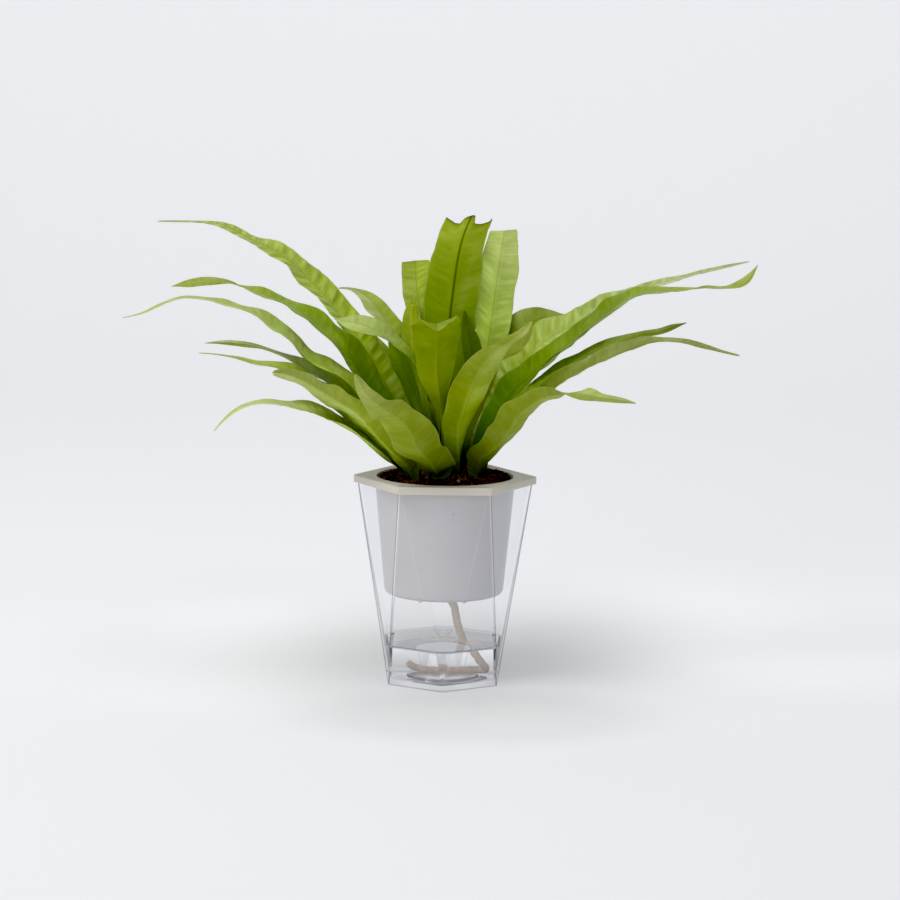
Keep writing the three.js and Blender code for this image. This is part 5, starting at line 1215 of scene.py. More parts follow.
def build_cup():
    rings, solid = [], []
    ref = facet_ring(0.0, CUP_RT, CUP_RB, 0.9, 0)

    def outer(z, inset=0.0, r=1.5):
        rings.append(facet_ring(z / CUP_TOP, CUP_RT - inset, CUP_RB - inset, max(r, 0.15), z))

    def inner(z, inset=0.0, r=0.9):
        h, rt, rb = cup_wall(z)
        rings.append(facet_ring(h, rt - inset, rb - inset, max(r, 0.15), z))

    def disc(r, z):
        rings.append(round_like(ref, r, z))

    # outside, from the foot up
    outer(0.0, 0.8, 0.6)
    outer(0.06, 0.42, 0.7)
    outer(0.25, 0.14, 0.85)
    outer(0.6, 0.02)
    for z in (1.2, 2.0, 3.2, 5, 9, 14, 20, 27, 35, 44, 53, 62, 71, 80, 89, 97, 104, 110, 114, 116.5, 118):
        outer(z)
    outer(118.6, 0.05)
    outer(118.88, 0.2)
    outer(119.0, 0.55)
    inner(119.0, -0.5)
    inner(118.88, -0.15)
    inner(118.5, 0)
    for z in (117, 114, 110, 104, 97, 89, 80, 71, 62, 53, 44, 35, 27, 20, 14, 10, 7.5, 5.5):
        inner(z)
    inner(4.4, 0.02)
    walls_end = len(rings)
    inner(3.75, 0.2)
    inner(3.3, 0.62)
    inner(3.06, 1.2)
    inner(3.0, 1.9)
    for r, z in ((26.0, 3.0), (22.0, 3.0), (19.0, 3.0), (18.1, 3.03), (17.6, 3.2), (17.4, 3.6), (17.3, 4.2), (17.2, 4.55),
                 (16.95, 4.8), (16.5, 4.9), (14.4, 4.9), (13.9, 4.84), (11.0, 4.84), (7.0, 4.84), (3.5, 4.84)):
        disc(r, z)
    # underside, from the middle out
    under = [(4, 2.8), (8, 2.8), (12, 2.8), (13.6, 2.8), (14.5, 2.7), (15.0, 2.4), (15.25, 1.9), (15.3, 0.9),
             (15.42, 0.35), (15.7, 0.08), (16.2, 0.0), (20, 0.0), (24, 0.0), (28, 0.0)]
    n = len(ref)
    v = np.concatenate(rings).tolist()
    f = list(rings_to_faces(len(rings), n))
    last = (len(rings) - 1) * n
    c_top = len(v)
    v.append([0, 0, 4.84])
    f += [(last + i, last + (i + 1) % n, c_top) for i in range(n)]
    start = len(v)
    for r, z in under:
        v += round_like(ref, r, z).tolist()
    c_low = len(v)
    v.append([0, 0, 2.8])
    f += [(start + (i + 1) % n, start + i, c_low) for i in range(n)]
    for j in range(len(under) - 1):
        a, b = start + j * n, start + (j + 1) * n
        f += [(a + i, a + (i + 1) % n, b + (i + 1) % n, b + i) for i in range(n)]
    a = start + (len(under) - 1) * n
    f += [(a + i, a + (i + 1) % n, (i + 1) % n, i) for i in range(n)]
    # moulding marks on the floor disc: a gate nub and two ejector discs
    def button(x, y, z, r, rise):
        m, s0 = 18, len(v)
        for rr, zz in ((r, z - 0.4), (r, z + rise * 0.6), (r * 0.8, z + rise)):
            for i in range(m):
                q = 2 * math.pi * i / m
                v.append([x + rr * math.cos(q), y + rr * math.sin(q), zz])
        for j in range(2):
            f.extend((s0 + j * m + i, s0 + j * m + (i + 1) % m, s0 + (j + 1) * m + (i + 1) % m, s0 + (j + 1) * m + i) for i in range(m))
        f.append(tuple(s0 + 2 * m + i for i in range(m)))
        f.append(tuple(s0 + m - 1 - i for i in range(m)))
    button(-0.6, -0.5, 4.84, 1.0, 0.5)
    for x, y in ((-6.6, -1.4), (5.4, -1.4)):
        button(x, y, 4.84, 1.3, 0.22)
    # the walls are thin and parallel; the foot and the floor are one thick piece
    kind = []
    for q in range(len(f)):
        j, i = divmod(q, n)
        block, k = divmod(i, 10)
        # painted highlight: corner strips in blocks 4 and 7 take LINE, those in 1 and 10 the fainter LINE_SOFT
        if 4 <= j <= 24 and k < 4 and block in (1, 4, 7, 10):
            kind.append(4 if block in (4, 7) else 8)
        # painted highlight: these corner strips take RIDGE, which mirrors more than the flat wall
        elif 4 <= j <= 24 and k < 4 and block in (2, 3, 8, 9):
            kind.append(3)
        elif 4 <= j <= 24 and (k <= 4 or k == 9):
            kind.append(2)
        elif 6 <= j < walls_end - 1:
            kind.append(1)
        # painted shade: the foot's lowest bevels and the boss's side take the dark RIM tint
        elif j < 3 or walls_end + 9 <= j <= walls_end + 12:
            kind.append(6)
        elif walls_end + 13 <= j < len(rings):
            kind.append(7)
        elif j < 25 or j >= walls_end - 1:
            kind.append(5)
        else:
            kind.append(0)
    ob = mesh_object("outer_cup_clear", v, f, [CLEAR, WALL, EDGE, RIDGE, LINE, FLOOR, RIM, DISC, LINE_SOFT], face_mat=kind)
    return place(ob, "outer_cup")


build_cup()

# ---------------------------------------------------------------- reservoir water
WATER_TOP = 22.6


def build_water():
    line = rope_line()[0]
    cross = line[np.argmin(np.abs(line[:, 2] - WATER_TOP - 0.5))]
    rings = []
    ref = facet_ring(0.0, CUP_RT, CUP_RB, 0.9, 0)

    def wall(z, inset=-0.14, r=0.95, at=None):
        h, rt, rb = cup_wall(z)
        g = facet_ring(h, rt - inset, rb - inset, r, z if at is None else at)
        rings.append(g)

    wall(2.9, 1.2)
    wall(3.2, 0.55)
    wall(3.65, 0.12)
    wall(4.4, -0.1)
    for z in (5.5, 7.5, 10, 13, 16, 19, 21, 22, 22.6):
        wall(z)
    wall(WATER_TOP + 1.0)
    wall(WATER_TOP + 1.25, 0.02)
    # the surface, curving up to the wall
    for inset in (0.12, 0.25, 0.45, 0.7, 1.0, 1.4, 1.9, 2.6, 3.6):
        wall(WATER_TOP, inset, 0.95, WATER_TOP + 1.2 * math.exp(-inset / 0.75))
    n = len(ref)
    edge = rings[-1]
    for w in (0.93, 0.86, 0.79, 0.72, 0.65, 0.585, 0.52, 0.455, 0.39, 0.325, 0.26, 0.19, 0.12, 0.05):
        g = edge.copy()
        g[:, :2] *= w
        g[:, 2] = WATER_TOP
        rings.append(g)
    v = np.concatenate(rings)
    f = list(rings_to_faces(len(rings), n))
    last = (len(rings) - 1) * n
    v = np.concatenate([v, [[0, 0, WATER_TOP]]])
    f += [(last + i, last + (i + 1) % n, len(v) - 1) for i in range(n)]
    # rise round the wick
    top = v[:, 2] > WATER_TOP - 0.01
    d = np.maximum(np.hypot(v[:, 0] - cross[0], v[:, 1] - cross[1]) - WICK_R, 0)
    v[top, 2] += 0.9 * np.exp(-d[top] / 1.0)
    # underside over the floor and its disc
    start = len(v)
    low = [[0, 0, 4.76]]
    prof = [(8, 4.76), (13.9, 4.76), (14.6, 4.8), (16.4, 4.8), (16.8, 4.72), (17.1, 4.45), (17.2, 4.1), (17.3, 3.6),
            (17.5, 3.15), (18.1, 2.95), (19.2, 2.9), (26, 2.9)]
    for r, z in prof:
        low += round_like(ref, r, z).tolist()
    v = np.concatenate([v, low])
    f += [(start + 1 + (i + 1) % n, start + 1 + i, start) for i in range(n)]
    for j in range(len(prof) - 1):
        a, b = start + 1 + j * n, start + 1 + (j + 1) * n
        f += [(a + i, a + (i + 1) % n, b + (i + 1) % n, b + i) for i in range(n)]
    a = start + 1 + (len(prof) - 1) * n
    f += [(a + i, a + (i + 1) % n, (i + 1) % n, i) for i in range(n)]
    # side walls, the climbing edge and the flat surface each have their own look; the climbing edge carries a painted
    # shade line, paler on its far half
    kind = []
    for q in range(len(f)):
        j, i = divmod(q, n)
        far = 0 < math.sin(2 * math.pi * i / n) and 12 <= j < 21
        kind.append(2 if far else 1 if 12 <= j < 21 else 3 if j >= len(rings) or j < 3 else 0)
    ob = mesh_object("reservoir_water_body", v, f, [WATER, MENISCUS, MENISCUS_FAR, WATER_LOW], face_mat=kind)
    return place(ob, "reservoir_water")


build_water()

# ---------------------------------------------------------------- potting mix and crown
def soil_z(r):
    return 125.4 - 5.8 * (r / 38.5) ** 2


def wobble(x, y, seed, scale):
    """Smooth noise for a surface, from a fixed set of waves."""
    rng = np.random.default_rng(seed)
    z = np.zeros_like(x, float)
    for _ in range(14):
        a, k, p = rng.uniform(0, 2 * np.pi), rng.uniform(0.6, 1.8) / scale, rng.uniform(0, 2 * np.pi)
        z += np.sin(2 * np.pi * k * (x * math.cos(a) + y * math.sin(a)) + p)
    return z / 4.5




def chunk_shapes():
    """Icosahedron points and faces, for grains."""
    g = (1 + 5**0.5) / 2
    v = np.array([(-1, g, 0), (1, g, 0), (-1, -g, 0), (1, -g, 0), (0, -1, g), (0, 1, g), (0, -1, -g), (0, 1, -g),
                  (g, 0, -1), (g, 0, 1), (-g, 0, -1), (-g, 0, 1)], float)
    v /= np.linalg.norm(v[0])
    f = [(0, 11, 5), (0, 5, 1), (0, 1, 7), (0, 7, 10), (0, 10, 11), (1, 5, 9), (5, 11, 4), (11, 10, 2), (10, 7, 6),
         (7, 1, 8), (3, 9, 4), (3, 4, 2), (3, 2, 6), (3, 6, 8), (3, 8, 9), (4, 9, 5), (2, 4, 11), (6, 2, 10),
         (8, 6, 7), (9, 8, 1)]
    return v, f


def build_soil():
    n, radii = 150, np.concatenate([[0.01], np.linspace(1.5, 38.9, 44)])
    th = np.arange(n) * 2 * np.pi / n
    rng = np.random.default_rng(5)
    v, grain = [], []
    for r in radii:
        x, y = r * np.cos(th), r * np.sin(th)
        z = soil_z(r) + 0.55 * wobble(x, y, 3, 9) + 0.35 * wobble(x, y, 4, 3.2) + rng.normal(0, 0.22, n)
        if r > 38:
            z = z - (r - 38) * 0.8
        z = np.where(np.hypot(x, y) > 30, z + 0.5 * wobble(x, y, 8, 14), z)
        v.append(np.stack([x, y, z], 1))
        grain.append(rng.uniform(0, 0.5, n))
    for r, z in ((38.6, 117), (36.6, 90), (34.0, 62), (32.9, 56), (31.5, 54.2), (20, 54.1), (5, 54.1)):
        v.append(np.stack([r * np.cos(th), r * np.sin(th), np.full(n, float(z))], 1))
        grain.append(np.zeros(n))
    m = len(v)
    v, grain = np.concatenate(v), np.concatenate(grain)
    f = [tuple(q) for q in rings_to_faces(m, n)]
    f = [tuple(reversed(q)) for q in f]
    v = np.concatenate([v, [[0, 0, v[0][2]], [0, 0, 54.1]]])
    grain = np.concatenate([grain, [0, 0]])
    c0, c1 = len(v) - 2, len(v) - 1
    f += [(c0, i, (i + 1) % n) for i in range(n)]
    last = (m - 1) * n
    f += [(c1, last + (i + 1) % n, last + i) for i in range(n)]
    smooth = [True] * len(f)
    # crumbs, bark bits and fibres lying in the surface
    iv, jf = chunk_shapes()
    vs, gs, at = [v], [grain], len(v)
    for k in range(2600):
        r, a = 38.3 * math.sqrt(rng.uniform(0.1, 1)), rng.uniform(0, 2 * np.pi)
        size = 0.35 + 1.15 * rng.random() ** 2.2
        if r > 38.2 - size:
            r = 38.2 - size
        sc = size * np.array([1, rng.uniform(0.45, 0.95), rng.uniform(0.35, 0.8)])
        q = rng.normal(size=4); q /= np.linalg.norm(q)
        R = quat(q)
        p = (iv * (1 + rng.normal(0, 0.17, (12, 1)))) * sc @ R.T
        x, y = r * math.cos(a), r * math.sin(a)
        z = soil_z(r) + 0.45 * float(wobble(np.array([x]), np.array([y]), 3, 9)[0]) + rng.uniform(-0.25, 0.35) * size
        if r > 30:
            z += 0.5 * float(wobble(np.array([x]), np.array([y]), 8, 14)[0])
        vs.append(p + [x, y, z])
        gs.append(np.full(12, rng.uniform(0, 1)))
        f += [tuple(at + i for i in tri) for tri in jf]
        smooth += [False] * 20
        at += 12
    # one pale feed bead near the front fronds
    for (x, y, rad) in ((7.6, -31.3, 1.25),):
        p = iv * rad + [x, y, soil_z(math.hypot(x, y)) + 0.9]
        vs.append(p); gs.append(np.full(12, 2.0))
        f += [tuple(at + i for i in tri) for tri in jf]
        smooth += [True] * 20
        at += 12
    # fine root fibres
    for k in range(90):
        r, a = rng.uniform(26, 37.2), rng.uniform(0, 2 * np.pi)
        ln, w, bend, h = rng.uniform(3, 8), rng.uniform(0.10, 0.2), rng.uniform(-1, 1), rng.uniform(0, 2 * np.pi)
        x0, y0 = r * math.cos(a), r * math.sin(a)
        line = []
        for q in np.linspace(-0.5, 0.5, 6):
            x = x0 + ln * q * math.cos(h + bend * q)
            y = y0 + ln * q * math.sin(h + bend * q)
            rr = math.hypot(x, y)
            if rr > 37.9:
                x, y = x * 37.9 / rr, y * 37.9 / rr
            line.append([x, y, soil_z(min(rr, 37.9)) + 0.5 + 0.7 * (0.25 - q * q) * 4 * rng.uniform(0.4, 1) + 0.4 * float(wobble(np.array([x]), np.array([y]), 3, 9)[0])])
        line = np.array(line)
        t = np.gradient(line, axis=0); t /= np.linalg.norm(t, axis=1)[:, None]
        e1 = np.cross(t, [0, 0, 1.0]); e1 /= np.linalg.norm(e1, axis=1)[:, None]
        e2 = np.cross(t, e1)
        pts = np.concatenate([line + w * (math.cos(g) * e1 + math.sin(g) * e2) for g in (0, 2.09, 4.19)]).reshape(3, 6, 3).transpose(1, 0, 2).reshape(-1, 3)
        vs.append(pts); gs.append(np.full(18, rng.uniform(0.7, 1.0)))
        for j in range(5):
            for i in range(3):
                f.append((at + 3 * j + (i + 1) % 3, at + 3 * j + i, at + 3 * (j + 1) + i, at + 3 * (j + 1) + (i + 1) % 3))
                smooth.append(True)
        f.append((at, at + 1, at + 2)); f.append((at + 17, at + 16, at + 15))
        smooth += [False, False]
        at += 18
    ob = mesh_object("potting_mix_surface", np.concatenate(vs), f, [EARTH], smooth=smooth, attrs={"grain": np.concatenate(gs)})
    return place(ob, "potting_mix")


def quat(q):
    w, x, y, z = q
    return np.array([[1 - 2 * (y * y + z * z), 2 * (x * y - z * w), 2 * (x * z + y * w)],
                     [2 * (x * y + z * w), 1 - 2 * (x * x + z * z), 2 * (y * z - x * w)],
                     [2 * (x * z - y * w), 2 * (y * z + x * w), 1 - 2 * (x * x + y * y)]])


build_soil()


def build_crown():
    rng = np.random.default_rng(21)
    n, th = 90, np.arange(90) * 2 * np.pi / 90
    prof = [(0.01, 127.0), (4, 126.9), (8, 126.7), (12, 126.3), (16, 125.7), (19.5, 124.9), (22.5, 124.1), (24.8, 123.3), (26.2, 122.6),
            (26.6, 121.6), (24.5, 119.6), (18.6, 114.1), (8.1, 107.2), (0.01, 106.2)]
    v = []
    for r, z in prof:
        x, y = r * np.cos(th), r * np.sin(th)
        lift = 0.5 * wobble(x, y, 31, 5) + 0.25 * wobble(x, y, 32, 2) if z > 122 else 0
        v.append(np.stack([x, y, np.full(n, float(z)) + lift], 1))
    m = len(v)
    v = np.concatenate(v)
    f = [tuple(reversed(q)) for q in rings_to_faces(m, n)]
    smooth = [True] * len(f)
    vs, gs, at = [v], [np.full(len(v), 0.1)], len(v)
    # narrow pointed scales standing round the fronds' feet
    for k in range(900):
        r, a = 25.6 * math.sqrt(rng.uniform(0.0, 1)), rng.uniform(0, 2 * np.pi)
        x, y = r * math.cos(a), r * math.sin(a)
        z = np.interp(r, [p[0] for p in prof[:9]], [p[1] for p in prof[:9]]) - 0.2
        out = np.array([math.cos(a), math.sin(a), 0.0])
        d = np.array([0, 0, 1.0]) * rng.uniform(0.5, 1.2) + out * rng.uniform(-0.2, 0.9) + rng.normal(0, 0.3, 3)
        d /= np.linalg.norm(d)
        side = np.cross(d, out + rng.normal(0, 0.4, 3)); side /= np.linalg.norm(side)
        nor = np.cross(d, side)
        ln, w, th_ = rng.uniform(1.6, 4.6), rng.uniform(0.35, 0.8), 0.09
        c = np.array([x, y, z])
        curl = nor * rng.uniform(-0.8, 0.8)
        pts = []
        for q, ww in ((0, 0.7), (0.35, 1.0), (0.7, 0.6)):
            b = c + d * ln * q + curl * q * q
            pts += [b - side * w * ww, b + nor * th_, b + side * w * ww, b - nor * th_]
        pts.append(c + d * ln + curl)
        vs.append(np.array(pts)); gs.append(np.full(13, rng.uniform(0, 1)))
        for j in range(2):
            for i in range(4):
                f.append((at + 4 * j + i, at + 4 * j + (i + 1) % 4, at + 4 * (j + 1) + (i + 1) % 4, at + 4 * (j + 1) + i))
        for i in range(4):
            f.append((at + 8 + i, at + 8 + (i + 1) % 4, at + 12))
        f.append((at + 3, at + 2, at + 1, at))
        smooth += [True] * 13
        at += 13
    ob = mesh_object("crown_scaly", np.concatenate(vs), f, [BARK], smooth=smooth, attrs={"grain": np.concatenate(gs)})
    return place(ob, "crown")


build_crown()

# ---------------------------------------------------------------- leaves
T_COLS = np.array([0, .05, .11, .18, .26, .35, .45, .55, .65, .74, .82, .89, .95, 1.0])
T_ALL = np.concatenate([-T_COLS[::-1], T_COLS[1:]])


def leaf_sheet(az, rows, look):
    """The middle sheet of a leaf: points (rows, columns, 3) with its length along the midrib, half width and
    direction of the upper face."""
    a = np.array(rows, float)
    P, hw, roll, cup = a[:, :3], a[:, 3], a[:, 4], a[:, 5]
    u = np.concatenate([[0], np.cumsum(np.sqrt(np.linalg.norm(np.diff(P, axis=0), axis=1)))])
    q = np.linspace(0, u[-1], 700)
    fine = along(u, P, slopes(u, P), q)
    s_fine = np.concatenate([[0], np.cumsum(np.linalg.norm(np.diff(fine, axis=0), axis=1))])
    s_st = np.interp(u, q, s_fine)                       # stations' own lengths
    L = s_fine[-1]
    root, tip = look.get("root", 7.0), look.get("tip_len", None)
    if tip is None:
        tip = max(1.2, min(1.1 * hw[-1], 5.0))
    n = max(60, int((L + root + tip) / look.get("step", 1.25)))
    s = np.linspace(-root, L + tip, n)
    inside = np.clip(s, 0, L)
    C = np.stack([np.interp(inside, s_fine, fine[:, k]) for k in range(3)], 1)
    t0 = fine[3] - fine[0]
    t0 /= np.linalg.norm(t0)
    t1 = fine[-1] - fine[-12]
    t1 /= np.linalg.norm(t1)
    down = np.array([0, 0, -1.0])
    below, beyond = s < 0, s > L
    dirn = t0 * 0.6 - down * 0.4
    dirn /= np.linalg.norm(dirn)
    C[below] += (s[below])[:, None] * dirn
    C[beyond] += (s[beyond] - L)[:, None] * t1
    W = along(s_st, hw, limited(s_st, hw), inside)
    R = np.radians(along(s_st, roll, slopes(s_st, roll), inside))
    G = np.maximum(along(s_st, cup, limited(s_st, cup), inside), 0)
    x = np.clip((s - L) / tip, 0, 1)
    W = W * np.sqrt(np.maximum(1 - x**2, 0.0004))
    G = G * (1 - x)
    base_w = look.get("base_w", 1.0)
    W = W * (1 + (base_w - 1) * (1 - smoothstep(4, look.get("base_len", 26.0), s)))
    W = np.where(s < 0, W * (1 + 0.04 * s), W) * look.get("wide", 1.0)
    # local directions
    T = np.gradient(C, axis=0)
    T /= np.linalg.norm(T, axis=1)[:, None]
    k = np.array([1, 2, 3, 2, 1.0]) / 9
    T = np.stack([np.convolve(np.pad(T[:, i], 2, mode="edge"), k, mode="valid") for i in range(3)], 1)
    T /= np.linalg.norm(T, axis=1)[:, None]
    azr = math.radians(az)
    S0 = np.array([-math.sin(azr), math.cos(azr), 0.0])
    S = S0 - T * (T @ S0)[:, None]
    S /= np.linalg.norm(S, axis=1)[:, None]
    U = np.cross(T, S)
    side = np.cos(R)[:, None] * S + np.sin(R)[:, None] * U
    nor = np.cross(T, side)
    t = T_ALL[None, :]
    at = np.abs(t)
    rng = np.random.default_rng(look["seed"])
    ph = rng.uniform(0, 2 * np.pi, 12)
    fade = smoothstep(8, 30, s) * (0.35 + 0.65 * (1 - smoothstep(L - 30, L, s)))
    size = np.clip(W / 8.0, 0.2, 1.3)
    # undulating margins, each side with its own wave
    wave, lam = look.get("wave", 0.5), look.get("lam", 27.0)
    ss = s[:, None]
    jig = 0.22 * lam * np.sin(ss / (lam * 0.55) + ph[0])
    left = np.sin(2 * np.pi * (ss + jig) / lam + ph[1]) + 0.10 * np.sin(2 * np.pi * ss / (lam * 0.47) + ph[2])
    right = np.sin(2 * np.pi * (ss - jig) / (lam * 1.12) + ph[3]) + 0.10 * np.sin(2 * np.pi * ss / (lam * 0.53) + ph[4])
    und = np.where(t > 0, left, right) * at**2.2 * (wave * fade * size)[:, None]
    # ribs between the side veins
    rib, rl = look.get("rib", 0.12), look.get("rib_len", 6.5)
    w = ss - 0.42 * at * W[:, None]
    cor = np.sin(2 * np.pi * (w + 1.1 * np.sin(ss / 9 + ph[5])) / rl + ph[6] + (t > 0) * 0.7)
    cor = cor + 0.5 * np.sin(2 * np.pi * w / (rl * 0.61) + ph[7])
    cor = cor * smoothstep(0.05, 0.4, at) * (1 - 0.7 * smoothstep(0.75, 1, at))
    # painted light and shade that follows the ribs' rise and fall
    bands = cor * fade[:, None]
    cor = cor * (rib * fade * size)[:, None]
    slow = look.get("slow", 0.5) * np.sin(2 * np.pi * ss / 37 + ph[8]) * t * (fade * size)[:, None]
    fold = look.get("fold", 0.0) * smoothstep(10, 40, s) * (1 - smoothstep(L - 25, L, s))
    height = -(G + fold)[:, None] * (1 - at**look.get("vee", 1.45)) + und + cor + slow
    # margins that nick and swell a little
    edge = 1 + (0.014 * np.sin(2 * np.pi * ss / 21 + ph[9]) + 0.005 * np.sin(2 * np.pi * ss / 8.7 + ph[10])) * at**3
    for (sn, sgn, depth, width) in look.get("nicks", ()):
        edge = edge - depth * np.exp(-(((ss - sn) / width) ** 2)) * (np.sign(t) == sgn) * smoothstep(0.25, 1.0, at)
    M = C[:, None, :] + side[:, None, :] * (W[:, None] * t * edge)[..., None] + nor[:, None, :] * height[..., None]
    if "cut" in look:                                    # a torn end: how far below the tip each column stops, mm
        ct = np.array(look["cut"], float)
        lower = np.interp(T_ALL, ct[:, 0], ct[:, 1])
        span = look.get("cut_span", 22.0)
        push = smoothstep(s[-1] - span, s[-1], s)
        for c in range(M.shape[1]):
            at_s = s - lower[c] * push
            M[:, c] = np.stack([np.interp(at_s, s, M[:, c, kk]) for kk in range(3)], 1)
    leaf_sheet.bands = bands
    return M, s, W, L, nor, S


def leaf_mesh(name, az, rows, look, mats):
    M, s, W, L, nor, S = leaf_sheet(az, rows, look)
    n, m = M.shape[:2]
    du = np.gradient(M, axis=0)
    dv = np.gradient(M, T_ALL, axis=1)
    N = np.cross(du, dv)
    N /= np.maximum(np.linalg.norm(N, axis=2), 1e-9)[..., None]
    # the two tips of a row may fold; keep the sheet's facing steady there
    flip = np.einsum("ijk,ik->ij", N, nor) < -0.2
    N[flip] *= -1
    t, at = T_ALL[None, :], np.abs(T_ALL)[None, :]
    d = at * W[:, None]
    thick = look.get("thick", 0.21)
    frac = np.clip(s / L, 0, 1)[:, None]
    tipf = np.clip(W / 2.5, 0.25, 1)[:, None]
    e_top = thick * (1 - 0.55 * at**4) * tipf
    keel = (0.85 * (1 - frac) ** 1.2 + 0.10) * look.get("keel", 1.0) * tipf
    kw = 0.95 * (1 - frac) + 0.42
    e_low = e_top + keel * np.exp(-((d / kw) ** 2))
    groove = look.get("groove", 0.16) * tipf * (1 - 0.5 * frac)
    e_top = e_top - groove * np.exp(-((d / (0.55 * kw)) ** 2)) + 0.35 * groove * np.exp(-(((d - 1.2 * kw) / (0.6 * kw)) ** 2))
    top = M + N * e_top[..., None]
    low = M - N * e_low[..., None]
    out_r = M[:, -1] - M[:, -2]
    out_l = M[:, 0] - M[:, 1]
    out_r /= np.maximum(np.linalg.norm(out_r, axis=1), 1e-9)[:, None]
    out_l /= np.maximum(np.linalg.norm(out_l, axis=1), 1e-9)[:, None]
    rr = (thick * 0.45 * tipf)
    rim_r, rim_l = M[:, -1] + out_r * rr, M[:, 0] + out_l * rr
    ring = np.concatenate([top, rim_r[:, None], low[:, ::-1], rim_l[:, None]], axis=1)
    k = ring.shape[1]
    v = ring.reshape(-1, 3)
    tt = np.concatenate([T_ALL, [1.0], T_ALL[::-1], [-1.0]])
    f, fm = [], []
    for j in range(n - 1):
        a, b = j * k, (j + 1) * k
        for i in range(k):
            i2 = (i + 1) % k
            f.append((a + i, b + i, b + i2, a + i2))
            fm.append(0 if i < m - 1 else 1)
    for j, rev in ((0, False), (n - 1, True)):
        o = j * k
        for i in range(m - 1):
            lo1, lo2 = o + m + 1 + (m - 1 - i), o + m + 1 + (m - 2 - i)
            q = (o + i, o + i + 1, lo2, lo1)
            f.append(tuple(reversed(q)) if rev else q); fm.append(1)
        q = (o + m - 1, o + m, o + m + 1)
        f.append(tuple(reversed(q)) if rev else q); fm.append(1)
        q = (o + k - 1, o, o + k - 2)
        f.append(tuple(reversed(q)) if rev else q); fm.append(1)
    S_ = np.repeat(s, k)
    T_ = np.tile(tt, n)
    W_ = np.repeat(W, k)
    uv1 = np.stack([T_ * 0.5 + 0.5, np.clip(S_ / L, 0, 1.05)], 1)
    uv2 = np.stack([T_ * W_ / 100 + 0.5, S_ / 400 + 0.05], 1)
    # browned places: torn edges, bruises and spots
    age = np.zeros(len(v))
    if "cut" in look:
        ct = np.array(look["cut"], float)
        below = s[-1] - S_
        age += np.exp(-below / 1.1) * look.get("cut_brown", 0.9)
    for (s0, t0, r0, amount) in look.get("spots", ()):
        dist = np.hypot(S_ - s0, (T_ - t0) * W_)
        age += amount * np.exp(-((dist / r0) ** 2))
    # painted light and shade: the brightness along the blade, between its halves and in darkened spots is partly the
    # blade's tone and partly painted light and shade
    F_ = np.clip(S_ / L, 0, 1)
    tone_and_painted_light = np.interp(F_, (0.15, 0.55, 0.95), look.get("tone_and_painted_light", (1.0, 1.0, 1.0)))
    painted_half_shade = look.get("painted_half_shade", (1.0, 1.0))                    # how bright each half is beside the other
    half = smoothstep(-0.22, 0.22, T_)
    tone_and_painted_light = tone_and_painted_light * (painted_half_shade[0] + (painted_half_shade[1] - painted_half_shade[0]) * half)
    for (s0, t0, rs, rt, amount) in look.get("dusk", ()):
        tone_and_painted_light = tone_and_painted_light * (1 - amount * np.exp(-(((S_ - s0) / rs) ** 2) - (((T_ - t0) / rt) ** 2)))
    # painted shade: the blade's foot is darkened where the crown shades it, fading out along the blade
    foot = look.get("foot", 1.0) * (1 - smoothstep(3.0, look.get("foot_shade_len", 30.0), S_))
    # painted sheen: pale, and its spots in tint, mix the colour towards a pale grey-green that stands for the waxy
    # sheen
    pm, pp = look.get("pale", (0.0, 0.0))
    pale = (pm + (pp - pm) * half) * smoothstep(look.get("pale_from", 0.15), 0.75, F_)
    for (s0, t0, rs, rt, amount) in look.get("tint", ()):
        pale = pale + amount * np.exp(-(((S_ - s0) / rs) ** 2) - (((T_ - t0) / rt) ** 2))
    bands = leaf_sheet.bands
    bands = np.concatenate([bands, bands[:, -1:], bands[:, ::-1], bands[:, :1]], axis=1).reshape(-1)
    ob = mesh_object(name, v, f, mats, face_mat=fm, uvs={"blade": uv1, "mm": uv2},
                     attrs={"age": np.clip(age, 0, 1), "pale": np.clip(pale, 0, 1), "tone_and_painted_light": tone_and_painted_light, "foot": np.clip(foot, 0, 1), "bands": bands})
    return ob


